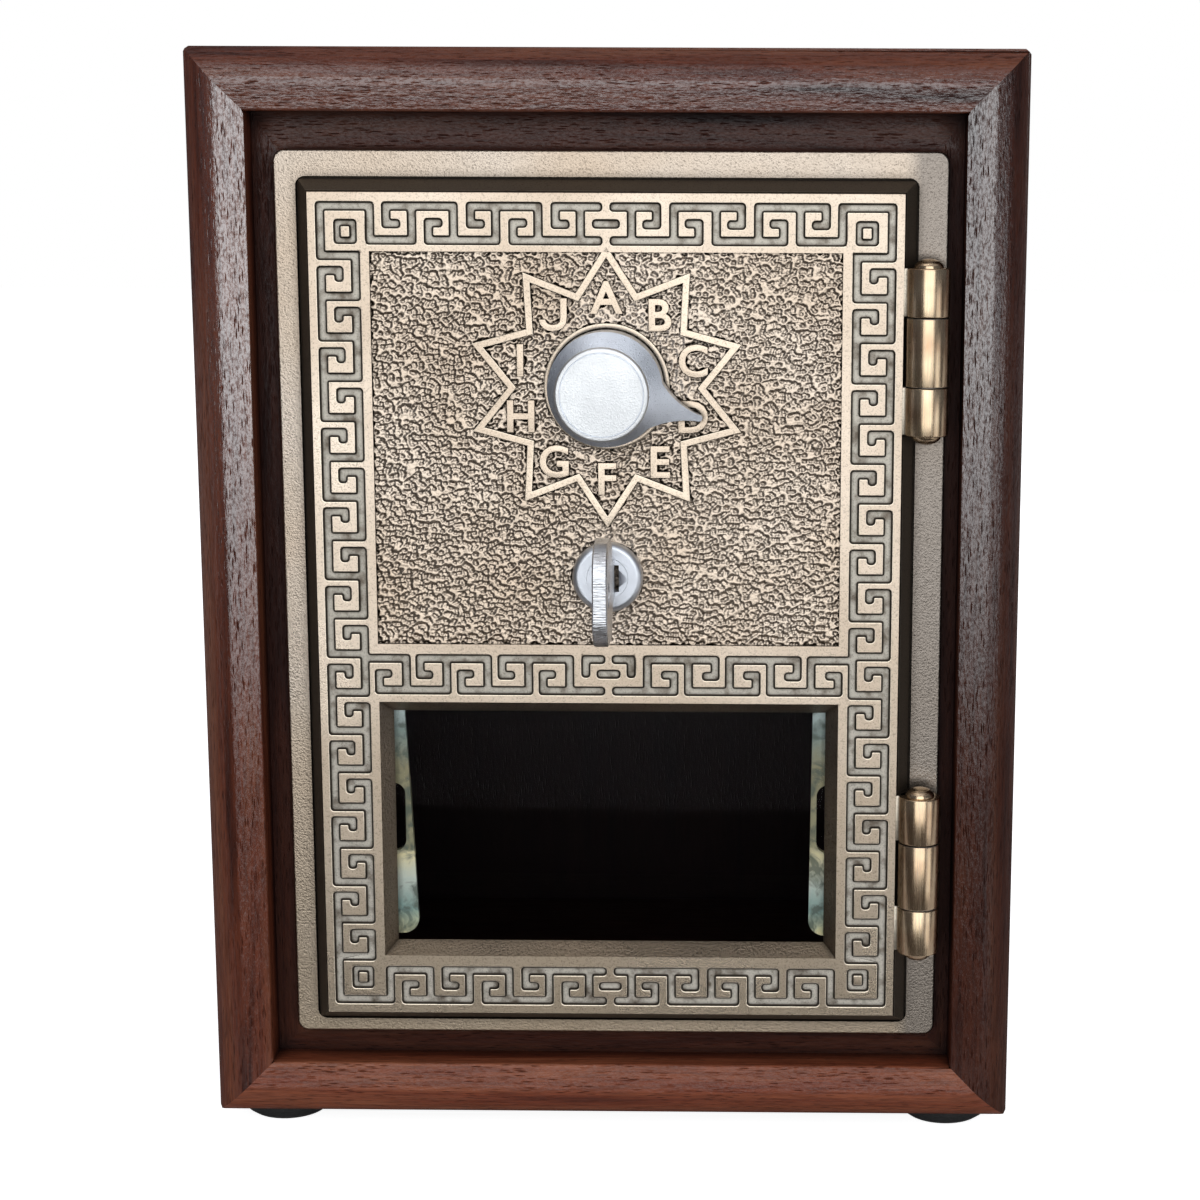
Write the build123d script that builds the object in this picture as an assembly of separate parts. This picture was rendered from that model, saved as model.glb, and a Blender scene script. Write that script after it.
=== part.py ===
from build123d import *
import os
from math import cos, pi, radians, sin

# Letter-box door of cast brass, set in a free-standing walnut case.
# X is to the right, Z is up, and the front looks along -Y. Depths are measured back
# from the front plane of the case's moulding, so the parts that stand proud of it
# have negative depths. Every length is in millimetres.

# ---- walnut case ----
case_depth = 114.0
side_reveal = 3.5         # inner frame seen beside the brass flange, at each side
low_reveal = 5.0
top_reveal = 6.8
board = 11.6              # thickness of the four mitred boards
band_width = 5.3          # nearly flat inner band of the moulded front
band_fall = 0.9           # how far the band falls towards the opening
bevel_depth = 6.0         # depth of the rounded outer bevel
bevel_bulge = 0.9         # how far that bevel swells beyond a straight one
corner_cut = 1.0          # worn arris at the case's four long corners
recess = 8.0              # moulding front to the face of the inner frame
inner_frame_depth = 12.0
back_thickness = 6.0
back_rebate = 5.0
back_clear = 0.2
foot_radius = 9.5
foot_flat_radius = 6.0
foot_height = 3.8
foot_bands = 4            # conical bands that make up the foot's dome
foot_inset_x = 11.5       # foot centre from the case's side
foot_inset_front = 17.0
foot_inset_back = 14.0

# ---- brass door frame ----
flange_width = 123.8
flange_height = 169.0
flange_thickness = 3.0
flange_corner = 2.2
flange_edge_round = 0.5
flange_shift = 0.7        # wider at the hinge side
throat_width = 114.2
throat_height = 161.6
throat_low = 2.6          # bottom of the throat above the flange's bottom edge
throat_corner = 1.8
throat_wall = 1.8
throat_length = 16.0      # behind the inner frame's face
throat_clear = 0.6        # outside of the throat to the inner frame
ledge_width = 2.0
ledge_thickness = 2.5

# ---- brass door leaf ----
door_gap = 0.4            # all round, inside the throat
door_proud = 4.2          # above the flange
door_set_in = 1.5         # rim below the flange's front
door_rest_gap = 0.3       # rim to the ledge
door_bevel = 2.4
door_corner_cut = 1.1     # clears the rounded corners of the throat
door_plate = 3.0
rim_width = 3.0
border = 11.1             # width of the ornamental border
field_drop = 0.8
field_corner = 1.0
middle_band_low = 61.4    # middle band above the door's bottom edge
middle_band_height = 11.0
star_radius = 25.2
star_notch_radius = 17.6
star_points = 10
star_line = 1.3
star_height = 120.9       # dial centre above the door's bottom edge
ring_radius = 11.6
ring_line = 0.9

# ---- hinges ----
hinge_x = 58.8
barrel_radius = 3.95
barrel_clear = 0.3        # barrel to the flange
outer_knuckle = 8.9
middle_knuckle = 12.5
knuckle_gap = 0.15
notch_clear = 0.5         # leaf around the frame's knuckle
upper_hinge = 132.9       # above the flange's bottom edge
lower_hinge = 33.8
pin_radius = 1.5
pin_clear = 0.05
pin_head_radius = 2.6
pin_head_height = 1.7
pin_head_rim = 0.3
pin_bands = 4             # flat crown and conical bands that make up a head's dome

# ---- window ----
window_low = 11.4         # above the door's bottom edge
window_height = 49.9
window_bevel = 2.3
window_corner = 1.2
glass_thickness = 2.2
glass_lap = 2.0           # glass beyond the opening, each side
clip_thickness = 1.0
clip_show = 2.6           # clip's edge beyond the opening's side
clip_lean = 1.2           # the left clip leans in towards its foot
clip_width = 12.6
clip_top_lap = 6.0
clip_foot = 0.6           # clip's foot above the opening's bottom
clip_foot_round = 3.0
clip_pad_low = 16.0
clip_pad_height = 15.6
clip_pad_extra = 0.5
clip_slot_height = 13.5
clip_slot_width = 4.4
clip_slot_inset = 0.7     # slot's middle behind the opening's side
clip_screw_inset = 6.9    # screws behind the opening's side
clip_screw_low = 8.0
clip_screw_high = 41.0
clip_post_radius = 3.0
small_screw_radius = 1.25
small_screw_head = 2.4

# ---- lock case behind the door ----
lock_half_width = 24.0
wheel_room = 3.6          # wheels' rims to the lock case's inside, above them
post_room = 1.2           # bolt to the lower posts
lock_wall = 1.5
lock_inside = 16.2        # free depth
lock_cover = 1.2
lock_corner = 4.0
post_radius = 3.2
post_inset = 4.0
screw_radius = 1.5
screw_clear = 0.05
screw_head_radius = 2.75
screw_head_height = 1.6
screw_bite = 1.4          # into the door plate

# ---- dial ----
spindle_radius = 3.0
spindle_clear = 0.05
skirt_radius = 10.5
skirt_gap = 0.3
skirt_edge = 1.2
knob_height = 15.6        # above the ornament's level
knob_radius = 8.3
knob_waist = 7.7
knob_face_radius = 7.15
knob_groove = 0.3
pointer_reach = 18.5
pointer_tip_radius = 0.6
pointer_root = 7.0        # height of the pointer where it leaves the knob
pointer_angle = -18.0     # degrees from +X, at the fourth mark
wheel_radius = 14.0
wheel_thickness = 1.5
wheel_count = 3
spacer_radius = 6.0
spacer_thickness = 1.2
wheel_gap = 0.3
gate_width = 5.0
gate_depth = 3.6
spindle_nut_height = 3.0
spindle_nut_flats = 9.0
spindle_tail = 0.8

# ---- fence lever ----
lever_x = 17.0
lever_drop = 22.4         # pivot below the dial's centre
lever_thickness = 2.0
lever_boss = 4.4
lever_tip = 3.0
stud_radius = 2.0
fence_gap = 2.2           # fence to the wheels' rims
fence_height = 2.8
fence_width = 4.0
spring_thickness = 0.5
spring_width = 4.0
spring_reach = 17.0

# ---- key lock and bolt ----
lock_drop = 35.5          # key lock below the dial's centre
lock_face_radius = 6.55
lock_face_height = 2.4
lock_face_rim = 0.7       # straight edge below the dome
lock_face_bands = 3       # conical bands that make up the dome
lock_body_radius = 5.5
lock_body_length = 13.4   # behind the field's face
plug_radius = 3.8
plug_clear = 0.05
plug_proud = 0.2
keyway_width = 1.8
keyway_height = 5.0
keyway_clear = 0.1
nut_flats = 14.0
nut_thickness = 3.0
cam_radius = 6.6
cam_thickness = 1.6
cam_gap = 0.2
cam_tail = 4.0            # square on the plug's end
cam_pin_radius = 1.3
cam_throw = 4.03          # pin's distance from the lock's axis
key_turn = 90.0           # degrees
cam_pin_clear = 0.15
bolt_thickness = 3.0
bolt_height = 14.0
bolt_clear = 0.2
bolt_tip_open = 52.8      # tip's distance from the door's middle, bolt drawn back
bolt_tail = 14.0
strike_clear = 0.4        # slot in the throat above and below the bolt
strike_room = 0.8         # and before and behind it
bow_height = 18.8
bow_length = 17.0
bow_thickness = 2.7
bow_corner = 6.0
bow_hole_radius = 2.4
bow_bevel = 0.25
key_reach = 23.6          # front of the key's bow before the case's front plane
key_neck = 7.6
blade_length = 13.0

# ---- wood screws ----
frame_screw_radius = 2.0
frame_screw_head = 3.5
frame_screw_head_height = 1.8
frame_screw_bite = 5.0    # into the case's side
frame_screw_low = 30.0    # above the flange's bottom edge
frame_screw_high = 138.0
back_screw_radius = 1.5
back_screw_head = 2.3
back_screw_length = 16.0
back_screw_edge = 12.0    # end screws from the panel's ends

# ---- levels worked out from the sizes above ----
front_y = (key_reach - case_depth) / 2
case_width = flange_width + 2 * (side_reveal + board)
case_height = flange_height + low_reveal + top_reveal + 2 * board
case_low = foot_height
case_high = case_low + case_height
half_case = case_width / 2
half_inside = half_case - board
inside_low = case_low + board
inside_high = case_high - board

flange_front = recess - flange_thickness
flange_bottom = inside_low + low_reveal
flange_top = flange_bottom + flange_height
flange_left = -flange_width / 2 + flange_shift
flange_right = flange_width / 2 + flange_shift
half_throat = throat_width / 2
throat_bottom = flange_bottom + throat_low
throat_top = throat_bottom + throat_height
throat_back = recess + throat_length

door_front = flange_front - door_proud
door_back = flange_front + door_set_in
plate_back = door_front + door_plate
field_face = door_front + field_drop
half_base = half_throat - door_gap
base_bottom = throat_bottom + door_gap
base_top = throat_top - door_gap
half_door = half_base - door_bevel
door_bottom = base_bottom + door_bevel
door_top = base_top - door_bevel
half_field = half_door - border
window_bottom = door_bottom + window_low
window_top = window_bottom + window_height
band_bottom = door_bottom + middle_band_low
field_bottom = band_bottom + middle_band_height
field_top = door_top - border + 0.5
dial_z = door_bottom + star_height
lock_z = dial_z - lock_drop
ledge_front = door_back + door_rest_gap
ledge_back = ledge_front + ledge_thickness
hinge_depth = flange_front - barrel_radius - barrel_clear

glass_back = plate_back + glass_thickness
clip_back = glass_back + clip_thickness
half_opening = half_field - window_bevel
opening_bottom = window_bottom + window_bevel
opening_top = window_top - window_bevel

lock_bottom = lock_z - bolt_height / 2 - post_room - post_radius - post_inset
lock_top = dial_z + wheel_radius + wheel_room + lock_wall
lock_floor = plate_back + lock_wall
lock_rear = lock_floor + lock_inside
cover_back = lock_rear + lock_cover

lock_body_back = field_face + lock_body_length
cam_front = lock_body_back + cam_gap
cam_back = cam_front + cam_thickness
bolt_front = cam_back + cam_gap
bolt_back = bolt_front + bolt_thickness
cam_start = radians(key_turn / 2)
bolt_travel = 2 * cam_throw * sin(cam_start)
lever_z = dial_z - lever_drop
wheels_front = lock_floor + wheel_gap


# ---- helpers ----
def front_plane(depth):
    return Plane(origin=(0, front_y + depth, 0), x_dir=(1, 0, 0), z_dir=(0, -1, 0))


def slab(sketch, front, back):
    """The sketch, drawn as X and Z, as a plate between two depths."""
    return extrude(front_plane(back) * sketch, back - front)


def rect(left, right, low, high, corner=0.0):
    middle = Pos((left + right) / 2, (low + high) / 2)
    if corner > 0:
        return middle * RectangleRounded(right - left, high - low, corner)
    return middle * Rectangle(right - left, high - low)


def cut_rect(left, right, low, high, cut):
    """Rectangle with its corners cut off at 45 degrees."""
    return chamfer(rect(left, right, low, high).vertices(), cut)


def block(left, right, low, high, front, back):
    return slab(rect(left, right, low, high), front, back)


def rod(x, z, radius, front, back):
    return slab(Pos(x, z) * Circle(radius), front, back)


def cross_rod(depth, z, radius, left, right):
    """A round bar along X."""
    return (Pos((left + right) / 2, front_y + depth, z) * Rot(0, 90, 0)
            * Cylinder(radius, right - left))


def turned(profile, x, z):
    """Radius and depth points turned about an axis along Y."""
    points = [(x + r, front_y + depth, z) for r, depth in profile]
    outline = Polyline(*points, close=True)
    return revolve(make_face(outline), Axis((x, 0, z), (0, 1, 0)), 360)


def hexagon(x, z, flats, front, back):
    return slab(Pos(x, z) * RegularPolygon(flats / 2, 6, major_radius=False), front, back)


def hull_arm(x1, z1, r1, x2, z2, r2):
    """Outline of two circles joined by their outer tangents."""
    start, end = Pos(x1, z1) * Circle(r1), Pos(x2, z2) * Circle(r2)
    return make_hull((start + end).edges())


# ---- case ----
def moulded_profile():
    """Section of one board: across from its outer face, and depth from the front."""
    ridge = board - band_width
    middle = (ridge / 2 - bevel_bulge * 0.7, bevel_depth / 2 - bevel_bulge * 0.7)
    lines = [
        ThreePointArc((0, bevel_depth), middle, (ridge, 0)),
        Line((ridge, 0), (board, band_fall)),
        Line((board, band_fall), (board, case_depth - back_thickness)),
        Line((board, case_depth - back_thickness),
             (board - back_rebate, case_depth - back_thickness)),
        Line((board - back_rebate, case_depth - back_thickness),
             (board - back_rebate, case_depth)),
        Line((board - back_rebate, case_depth), (0, case_depth)),
        Line((0, case_depth), (0, bevel_depth)),
    ]
    return make_face(lines)


def straight_board(length):
    """One board standing on end: its outer face at X zero, its front at Y zero."""
    return extrude(moulded_profile(), length)


def case_boards():
    """Four boards with one moulded section, mitred at the corners."""
    left = Pos(-half_case, front_y, case_low) * straight_board(case_height)
    bottom = Pos(half_case, front_y, case_low) * Rot(0, -90, 0) * straight_board(case_width)
    right = mirror(left, Plane.YZ)
    top = mirror(bottom, Plane(origin=(0, 0, (case_low + case_high) / 2), z_dir=(0, 0, 1)))
    worn = slab(cut_rect(-half_case, half_case, case_low, case_high, corner_cut), 0, case_depth)
    outer = [(-half_case, case_low), (half_case, case_low),
             (half_case, case_high), (-half_case, case_high)]
    inner = [(-half_inside, inside_low), (half_inside, inside_low),
             (half_inside, inside_high), (-half_inside, inside_high)]
    boards = {}
    names = ["case_bottom", "case_right", "case_top", "case_left"]
    for index, (name, solid) in enumerate(zip(names, [bottom, right, top, left])):
        after = (index + 1) % 4
        wedge = [outer[index], outer[after], inner[after], inner[index]]
        mitre = slab(make_face(Polyline(*wedge, close=True)), 0, case_depth)
        boards[name] = solid & mitre & worn
    for side, name in ((-1, "case_left"), (1, "case_right")):
        for z in frame_screw_heights():
            boards[name] -= screw_hole(side, z)
        for z in back_screw_heights():
            boards[name] -= rod(side * back_screw_x(), z, back_screw_radius + screw_clear,
                                case_depth - back_screw_length - 1, case_depth)
    return boards


def inner_frame():
    """Four mitred strips that carry the brass flange."""
    half_clear = half_throat + throat_wall + throat_clear
    low = throat_bottom - throat_wall - throat_clear
    high = throat_top + throat_wall + throat_clear
    outer = [(-half_inside, inside_low), (half_inside, inside_low),
             (half_inside, inside_high), (-half_inside, inside_high)]
    inner = [(-half_clear, low), (half_clear, low), (half_clear, high), (-half_clear, high)]
    strips = {}
    names = ["inner_frame_bottom", "inner_frame_right", "inner_frame_top", "inner_frame_left"]
    for index, name in enumerate(names):
        after = (index + 1) % 4
        outline = [outer[index], outer[after], inner[after], inner[index]]
        strips[name] = slab(make_face(Polyline(*outline, close=True)),
                            recess, recess + inner_frame_depth)
    for side in (-1, 1):
        name = "inner_frame_right" if side > 0 else "inner_frame_left"
        for z in frame_screw_heights():
            strips[name] -= screw_hole(side, z)
    return strips


def frame_screw_heights():
    return [flange_bottom + frame_screw_low, flange_bottom + frame_screw_high]


def frame_screw_depth():
    return recess + inner_frame_depth / 2


def screw_hole(side, z):
    near, far = half_throat - 1, half_inside + frame_screw_bite + 0.5
    left, right = sorted((side * near, side * far))
    return cross_rod(frame_screw_depth(), z, frame_screw_radius + screw_clear, left, right)


def frame_screws():
    """Pan-headed wood screws through the throat's sides into the case."""
    group = []
    for side in (-1, 1):
        head = sorted((side * (half_throat - frame_screw_head_height), side * half_throat))
        shank = sorted((side * half_throat, side * (half_inside + frame_screw_bite)))
        for z in frame_screw_heights():
            solid = cross_rod(frame_screw_depth(), z, frame_screw_head, *head)
            rim = solid.edges().sort_by(Axis.X)[0 if side > 0 else -1]
            solid = chamfer(rim, frame_screw_head_height * 0.5)
            solid += cross_rod(frame_screw_depth(), z, frame_screw_radius, *shank)
            group.append(solid)
    return Compound(group)


def back_screw_x():
    return half_inside + back_rebate / 2


def back_screw_heights():
    low = inside_low - back_rebate + back_screw_edge
    high = inside_high + back_rebate - back_screw_edge
    return [low, (low + high) / 2, high]


def back_panel():
    half = half_inside + back_rebate - back_clear
    panel = block(-half, half, inside_low - back_rebate + back_clear,
                  inside_high + back_rebate - back_clear, case_depth - back_thickness, case_depth)
    for side in (-1, 1):
        for z in back_screw_heights():
            panel -= countersunk(side * back_screw_x(), z, screw_clear)
    return panel


def countersunk(x, z, extra):
    """Wood screw driven from the back; extra opens it into its own hole."""
    head, shank = back_screw_head + extra, back_screw_radius + extra
    profile = [(0, case_depth), (head, case_depth), (shank, case_depth - (head - shank)),
               (shank, case_depth - back_screw_length), (0, case_depth - back_screw_length)]
    return turned(profile, x, z)


def back_screws():
    return Compound([countersunk(side * back_screw_x(), z, 0.0)
                     for side in (-1, 1) for z in back_screw_heights()])


def foot(x, depth):
    """Domed rubber bumper with a flat to stand on."""
    dome = []
    for index in range(foot_bands + 1):
        angle = pi / 2 * index / foot_bands
        dome.append((foot_flat_radius + (foot_radius - foot_flat_radius) * sin(angle),
                     foot_height * (1 - cos(angle))))
    face = Plane.XZ * make_face(Polyline((0, 0), *dome, (0, foot_height), close=True))
    return Pos(x, front_y + depth, 0) * revolve(face, Axis.Z, 360)


def feet():
    places = {"front": foot_inset_front, "back": case_depth - foot_inset_back}
    sides = {"left": -1, "right": 1}
    return {f"foot_{end}_{side}": foot(sign * (half_case - foot_inset_x), depth)
            for end, depth in places.items() for side, sign in sides.items()}


# ---- brass frame ----
def hinge_heights():
    return [flange_bottom + upper_hinge, flange_bottom + lower_hinge]


def hinge_bore(low, high):
    return Pos(hinge_x, front_y + hinge_depth, (low + high) / 2) * Cylinder(
        pin_radius + pin_clear, high - low)


def barrel(low, high, radius):
    return Pos(hinge_x, front_y + hinge_depth, (low + high) / 2) * Cylinder(radius, high - low)


def door_frame():
    """One casting: flange, throat with its ledge, and the middle knuckles."""
    flange = slab(rect(flange_left, flange_right, flange_bottom, flange_top, flange_corner),
                  flange_front, recess)
    front_rim = flange.faces().sort_by(Axis.Y)[0].edges()
    flange = fillet(front_rim, flange_edge_round)
    wall = throat_wall
    casting = flange + slab(
        rect(-half_throat - wall, half_throat + wall, throat_bottom - wall, throat_top + wall,
             throat_corner + wall), flange_front + flange_edge_round, throat_back)
    casting -= slab(rect(-half_throat, half_throat, throat_bottom, throat_top, throat_corner),
                    flange_front - 1, throat_back + 1)
    inner_half = half_throat - ledge_width
    ledge = slab(rect(-half_throat - wall / 2, half_throat + wall / 2,
                      throat_bottom - wall / 2, throat_top + wall / 2)
                 - rect(-inner_half, inner_half, throat_bottom + ledge_width,
                        throat_top - ledge_width), ledge_front, ledge_back)
    casting += ledge
    foot_left, foot_right = half_throat + 0.2, hinge_x + barrel_radius * 0.7
    for z in hinge_heights():
        low, high = z - middle_knuckle / 2, z + middle_knuckle / 2
        casting += barrel(low, high, barrel_radius)
        casting += block(foot_left, foot_right, low, high, hinge_depth, recess - 0.5)
        casting -= hinge_bore(low - 1, high + 1)
    half_slot = bolt_height / 2 + strike_clear
    casting -= block(-half_throat - 2 * wall, -half_throat + 1, lock_z - half_slot,
                     lock_z + half_slot, bolt_front - strike_room, bolt_back + strike_room)
    for side in (-1, 1):
        for z in frame_screw_heights():
            casting -= screw_hole(side, z)
    return casting


# ---- door leaf ----
def star(radius, notch):
    corners = []
    for index in range(2 * star_points):
        angle = pi / 2 + index * pi / star_points
        reach = radius if index % 2 == 0 else notch
        corners.append((reach * cos(angle), dial_z + reach * sin(angle)))
    return make_face(Polyline(*corners, close=True))


def star_rim():
    """Raised line around the dial, with a point straight up and one straight down."""
    inset = star_line * 1.25
    return star(star_radius, star_notch_radius) - star(star_radius - 2 * inset,
                                                       star_notch_radius - inset)


def leaf_body():
    """Bevelled casting, hollow behind, with the window cut through it."""
    base = rect(-half_base, half_base, base_bottom, base_top)
    face = rect(-half_door, half_door, door_bottom, door_top)
    leaf = slab(base, flange_front, door_back)
    leaf += loft([front_plane(flange_front) * base, front_plane(door_front) * face])
    leaf &= slab(cut_rect(-half_base, half_base, base_bottom, base_top, door_corner_cut),
                 door_front, door_back)
    hollow_half = half_base - rim_width
    leaf -= slab(rect(-hollow_half, hollow_half, base_bottom + rim_width, base_top - rim_width,
                      field_corner), plate_back, door_back + 1)
    opening_front = rect(-half_field, half_field, window_bottom, window_top, window_corner)
    opening_rear = rect(-half_opening, half_opening, opening_bottom, opening_top, window_corner)
    leaf -= loft([front_plane(plate_back) * opening_rear, front_plane(door_front) * opening_front])
    return leaf


def door_leaf():
    leaf = leaf_body()
    field = rect(-half_field, half_field, field_bottom, field_top, field_corner)
    ring = Pos(0, dial_z) * (Circle(ring_radius) - Circle(ring_radius - ring_line))
    leaf -= slab(field - star_rim() - ring, door_front - 1, field_face)
    for z in hinge_heights():
        half = middle_knuckle / 2 + knuckle_gap
        leaf -= barrel(z - half, z + half, barrel_radius + notch_clear)
        outer = half + outer_knuckle
        for low, high in ((z - outer, z - half), (z + half, z + outer)):
            leaf += barrel(low, high, barrel_radius)
            leaf += block(half_door - 1, hinge_x, low, high, door_front,
                          hinge_depth + barrel_radius)
            leaf -= hinge_bore(low - 1, high + 1)
    leaf -= rod(0, dial_z, spindle_radius + spindle_clear, door_front - 1, plate_back + 1)
    leaf -= rod(0, lock_z, lock_body_radius + plug_clear, door_front - 1, plate_back + 1)
    for x, z in lock_post_places():
        leaf -= rod(x, z, screw_radius + screw_clear, plate_back - screw_bite - 0.2, plate_back)
    for x, z in clip_screw_places():
        leaf += rod(x, z, clip_post_radius, plate_back - 0.5, glass_back)
        leaf -= rod(x, z, small_screw_radius + screw_clear, plate_back, glass_back)
    return leaf


def hinge_pin(z):
    """Pin with a domed head at each end, seated on the outer knuckles."""
    half = middle_knuckle / 2 + knuckle_gap + outer_knuckle
    seat, rise = half + pin_head_rim, pin_head_height - pin_head_rim
    upper = []
    for index in range(1, pin_bands + 1):
        angle = pi / 2 * index / pin_bands
        upper.append((pin_head_radius * sin(angle), seat + rise * cos(angle)))
    upper = [(0, upper[0][1]), *upper, (pin_head_radius, half), (pin_radius, half)]
    lower = [(r, -height) for r, height in reversed(upper)]
    face = Plane.XZ * make_face(Polyline(*upper, *lower, close=True))
    return Pos(hinge_x, front_y + hinge_depth, z) * revolve(face, Axis.Z, 360)


# ---- window ----
def window_glass():
    return block(-half_opening - glass_lap, half_opening + glass_lap,
                 opening_bottom - glass_lap, opening_top + glass_lap, plate_back, glass_back)


def clip_screw_places():
    x = half_opening + clip_screw_inset
    heights = (opening_bottom + clip_screw_low, opening_bottom + clip_screw_high)
    return [(side * x, z) for side in (-1, 1) for z in heights]


def glass_clip(side):
    """Bent brass strip that holds one end of the glass; the pad in its middle is thicker."""
    lean = clip_lean if side < 0 else 0.3
    inner_top = half_opening - clip_show + lean
    inner_foot = half_opening - clip_show - lean
    outer = half_opening - clip_show + clip_width
    low, high = opening_bottom + clip_foot, opening_top + clip_top_lap
    corners = [(inner_top, high), (outer, high), (outer, low), (inner_foot, low)]
    outline = make_face(Polyline(*[(side * x, z) for x, z in corners], close=True))
    outline = fillet(outline.vertices().sort_by(Axis.Y)[:2], clip_foot_round)
    pad_low = opening_bottom + clip_pad_low
    pad = outline & rect(-half_door, half_door, pad_low, pad_low + clip_pad_height)
    slot = Pos(side * (half_opening + clip_slot_inset), pad_low + clip_pad_height / 2) * Rot(
        0, 0, 90) * SlotOverall(clip_slot_height, clip_slot_width)
    clip = slab(outline, glass_back, clip_back) + slab(pad, glass_back, clip_back + clip_pad_extra)
    clip -= slab(slot, glass_back - 1, clip_back + 1)
    for x, z in clip_screw_places():
        clip -= rod(x, z, small_screw_radius + screw_clear, glass_back - 1, clip_back + 1)
    return clip


def button_screw(x, z, radius, head_radius, head_height, seat, tip):
    """Screw driven from behind: its head stands behind the seat and its shank runs forward."""
    profile = [(0, tip), (radius, tip), (radius, seat), (head_radius, seat),
               (head_radius, seat + head_height * 0.5), (head_radius * 0.6, seat + head_height),
               (0, seat + head_height)]
    return turned(profile, x, z)


def clip_screws():
    return Compound([button_screw(x, z, small_screw_radius, small_screw_head, 1.3,
                                  clip_back, plate_back + 0.3)
                     for x, z in clip_screw_places()])


# ---- lock case ----
def lock_post_places():
    x = lock_half_width - post_inset
    return [(side * x, z) for side in (-1, 1)
            for z in (lock_bottom + post_inset, lock_top - post_inset)]


def lock_outline(inset):
    return rect(-lock_half_width + inset, lock_half_width - inset, lock_bottom + inset,
                lock_top - inset, lock_corner - inset)


def lock_case():
    """Drawn brass box, open to the back, with a post for each cover screw."""
    case = slab(lock_outline(0), plate_back, lock_rear)
    case -= slab(lock_outline(lock_wall), lock_floor, lock_rear + 1)
    for x, z in lock_post_places():
        case += rod(x, z, post_radius, lock_floor - 0.5, lock_rear)
        case -= rod(x, z, screw_radius + screw_clear, plate_back - 1, lock_rear + 1)
    case -= rod(0, dial_z, spindle_radius + spindle_clear, plate_back - 1, lock_floor + 1)
    case -= rod(0, lock_z, lock_body_radius + plug_clear, plate_back - 1, lock_floor + 1)
    case -= block(-lock_half_width - 1, -lock_half_width + lock_wall + 1,
                  lock_z - bolt_height / 2 - bolt_clear, lock_z + bolt_height / 2 + bolt_clear,
                  bolt_front - bolt_clear, bolt_back + bolt_clear)
    return case


def lock_cover_plate():
    cover = slab(lock_outline(0), lock_rear, cover_back)
    for x, z in lock_post_places():
        cover -= rod(x, z, screw_radius + screw_clear, lock_rear - 1, cover_back + 1)
    return cover


def lock_screws():
    return Compound([button_screw(x, z, screw_radius, screw_head_radius, screw_head_height,
                                  cover_back, plate_back - screw_bite)
                     for x, z in lock_post_places()])


# ---- dial ----
def knob_bottom():
    return door_front - skirt_gap


def knob_top():
    return door_front - knob_height


def pointer_outline():
    """Teardrop: the skirt's circle drawn out to a small round tip on hollow flanks."""
    tangent = radians(52)
    root = (skirt_radius * cos(tangent), skirt_radius * sin(tangent))
    tip_x = pointer_reach - pointer_tip_radius
    waist = (0.55 * root[0] + 0.45 * tip_x, 0.34 * root[1])
    upper = ThreePointArc(root, waist, (tip_x, pointer_tip_radius))
    lower = ThreePointArc((tip_x, -pointer_tip_radius), (waist[0], -waist[1]),
                          (root[0], -root[1]))
    nose = ThreePointArc((tip_x, pointer_tip_radius), (pointer_reach, 0),
                         (tip_x, -pointer_tip_radius))
    chord = Line((root[0], -root[1]), root)
    return make_face([upper, nose, lower, chord]) + Circle(skirt_radius)


def dial_knob():
    """Turned knob with a hollow waist on a skirt that is drawn out into the pointer."""
    bottom, top = knob_bottom(), knob_top()
    skirt_top = bottom - skirt_edge
    waist = bottom - 0.45 * (bottom - top)
    outline = [Polyline((0, top), (knob_radius - 0.8, top), (knob_radius, top + 0.8),
                        (knob_radius, top + 2.2)),
               ThreePointArc((knob_radius, top + 2.2), (knob_waist, waist),
                             (skirt_radius, skirt_top)),
               Polyline((skirt_radius, skirt_top), (skirt_radius, bottom), (0, bottom),
                        (0, top))]
    face = make_face([edge for line in outline for edge in line.edges()])
    body = revolve(Plane.XY * Pos(0, front_y) * face, Axis((0, 0, 0), (0, 1, 0)), 360)
    body = Pos(0, 0, dial_z) * body
    turned_outline = Pos(0, dial_z) * Rot(0, 0, pointer_angle) * pointer_outline()
    pointer = slab(turned_outline, bottom - pointer_root, bottom)
    cone = turned([(0, bottom), (pointer_reach + 1, bottom),
                   (pointer_reach + 1, bottom - 1.0), (knob_waist, bottom - pointer_root),
                   (0, bottom - pointer_root)], 0, dial_z)
    knob = body + (pointer & cone)
    groove = Pos(0, dial_z) * (Circle(knob_face_radius) - Circle(knob_face_radius - knob_groove))
    knob -= slab(groove, top - 1, top + knob_groove)
    knob -= rod(0, dial_z, spindle_radius, top + 4, bottom + 1)
    return knob


def wheel_fronts():
    pitch = wheel_thickness + spacer_thickness
    return [wheels_front + spacer_thickness + index * pitch for index in range(wheel_count)]


def stack_back():
    return wheel_fronts()[-1] + wheel_thickness


def dial_spindle():
    return rod(0, dial_z, spindle_radius, knob_top() + 4,
               stack_back() + spindle_nut_height + spindle_tail)


def tumbler_wheel(front):
    """Notched disc; at rest its gate stands over the fence."""
    gate = rect(-gate_width / 2, gate_width / 2, dial_z - wheel_radius - 1,
                dial_z - wheel_radius + gate_depth)
    disc = Pos(0, dial_z) * (Circle(wheel_radius) - Circle(spindle_radius + spindle_clear))
    return slab(disc - gate, front, front + wheel_thickness)


def wheel_spacers():
    ring = Pos(0, dial_z) * (Circle(spacer_radius) - Circle(spindle_radius + spindle_clear))
    return Compound([slab(ring, front - spacer_thickness, front) for front in wheel_fronts()])


def spindle_nut():
    nut = hexagon(0, dial_z, spindle_nut_flats, stack_back(), stack_back() + spindle_nut_height)
    return nut - rod(0, dial_z, spindle_radius + spindle_clear, stack_back() - 1,
                     stack_back() + spindle_nut_height + 1)


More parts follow.
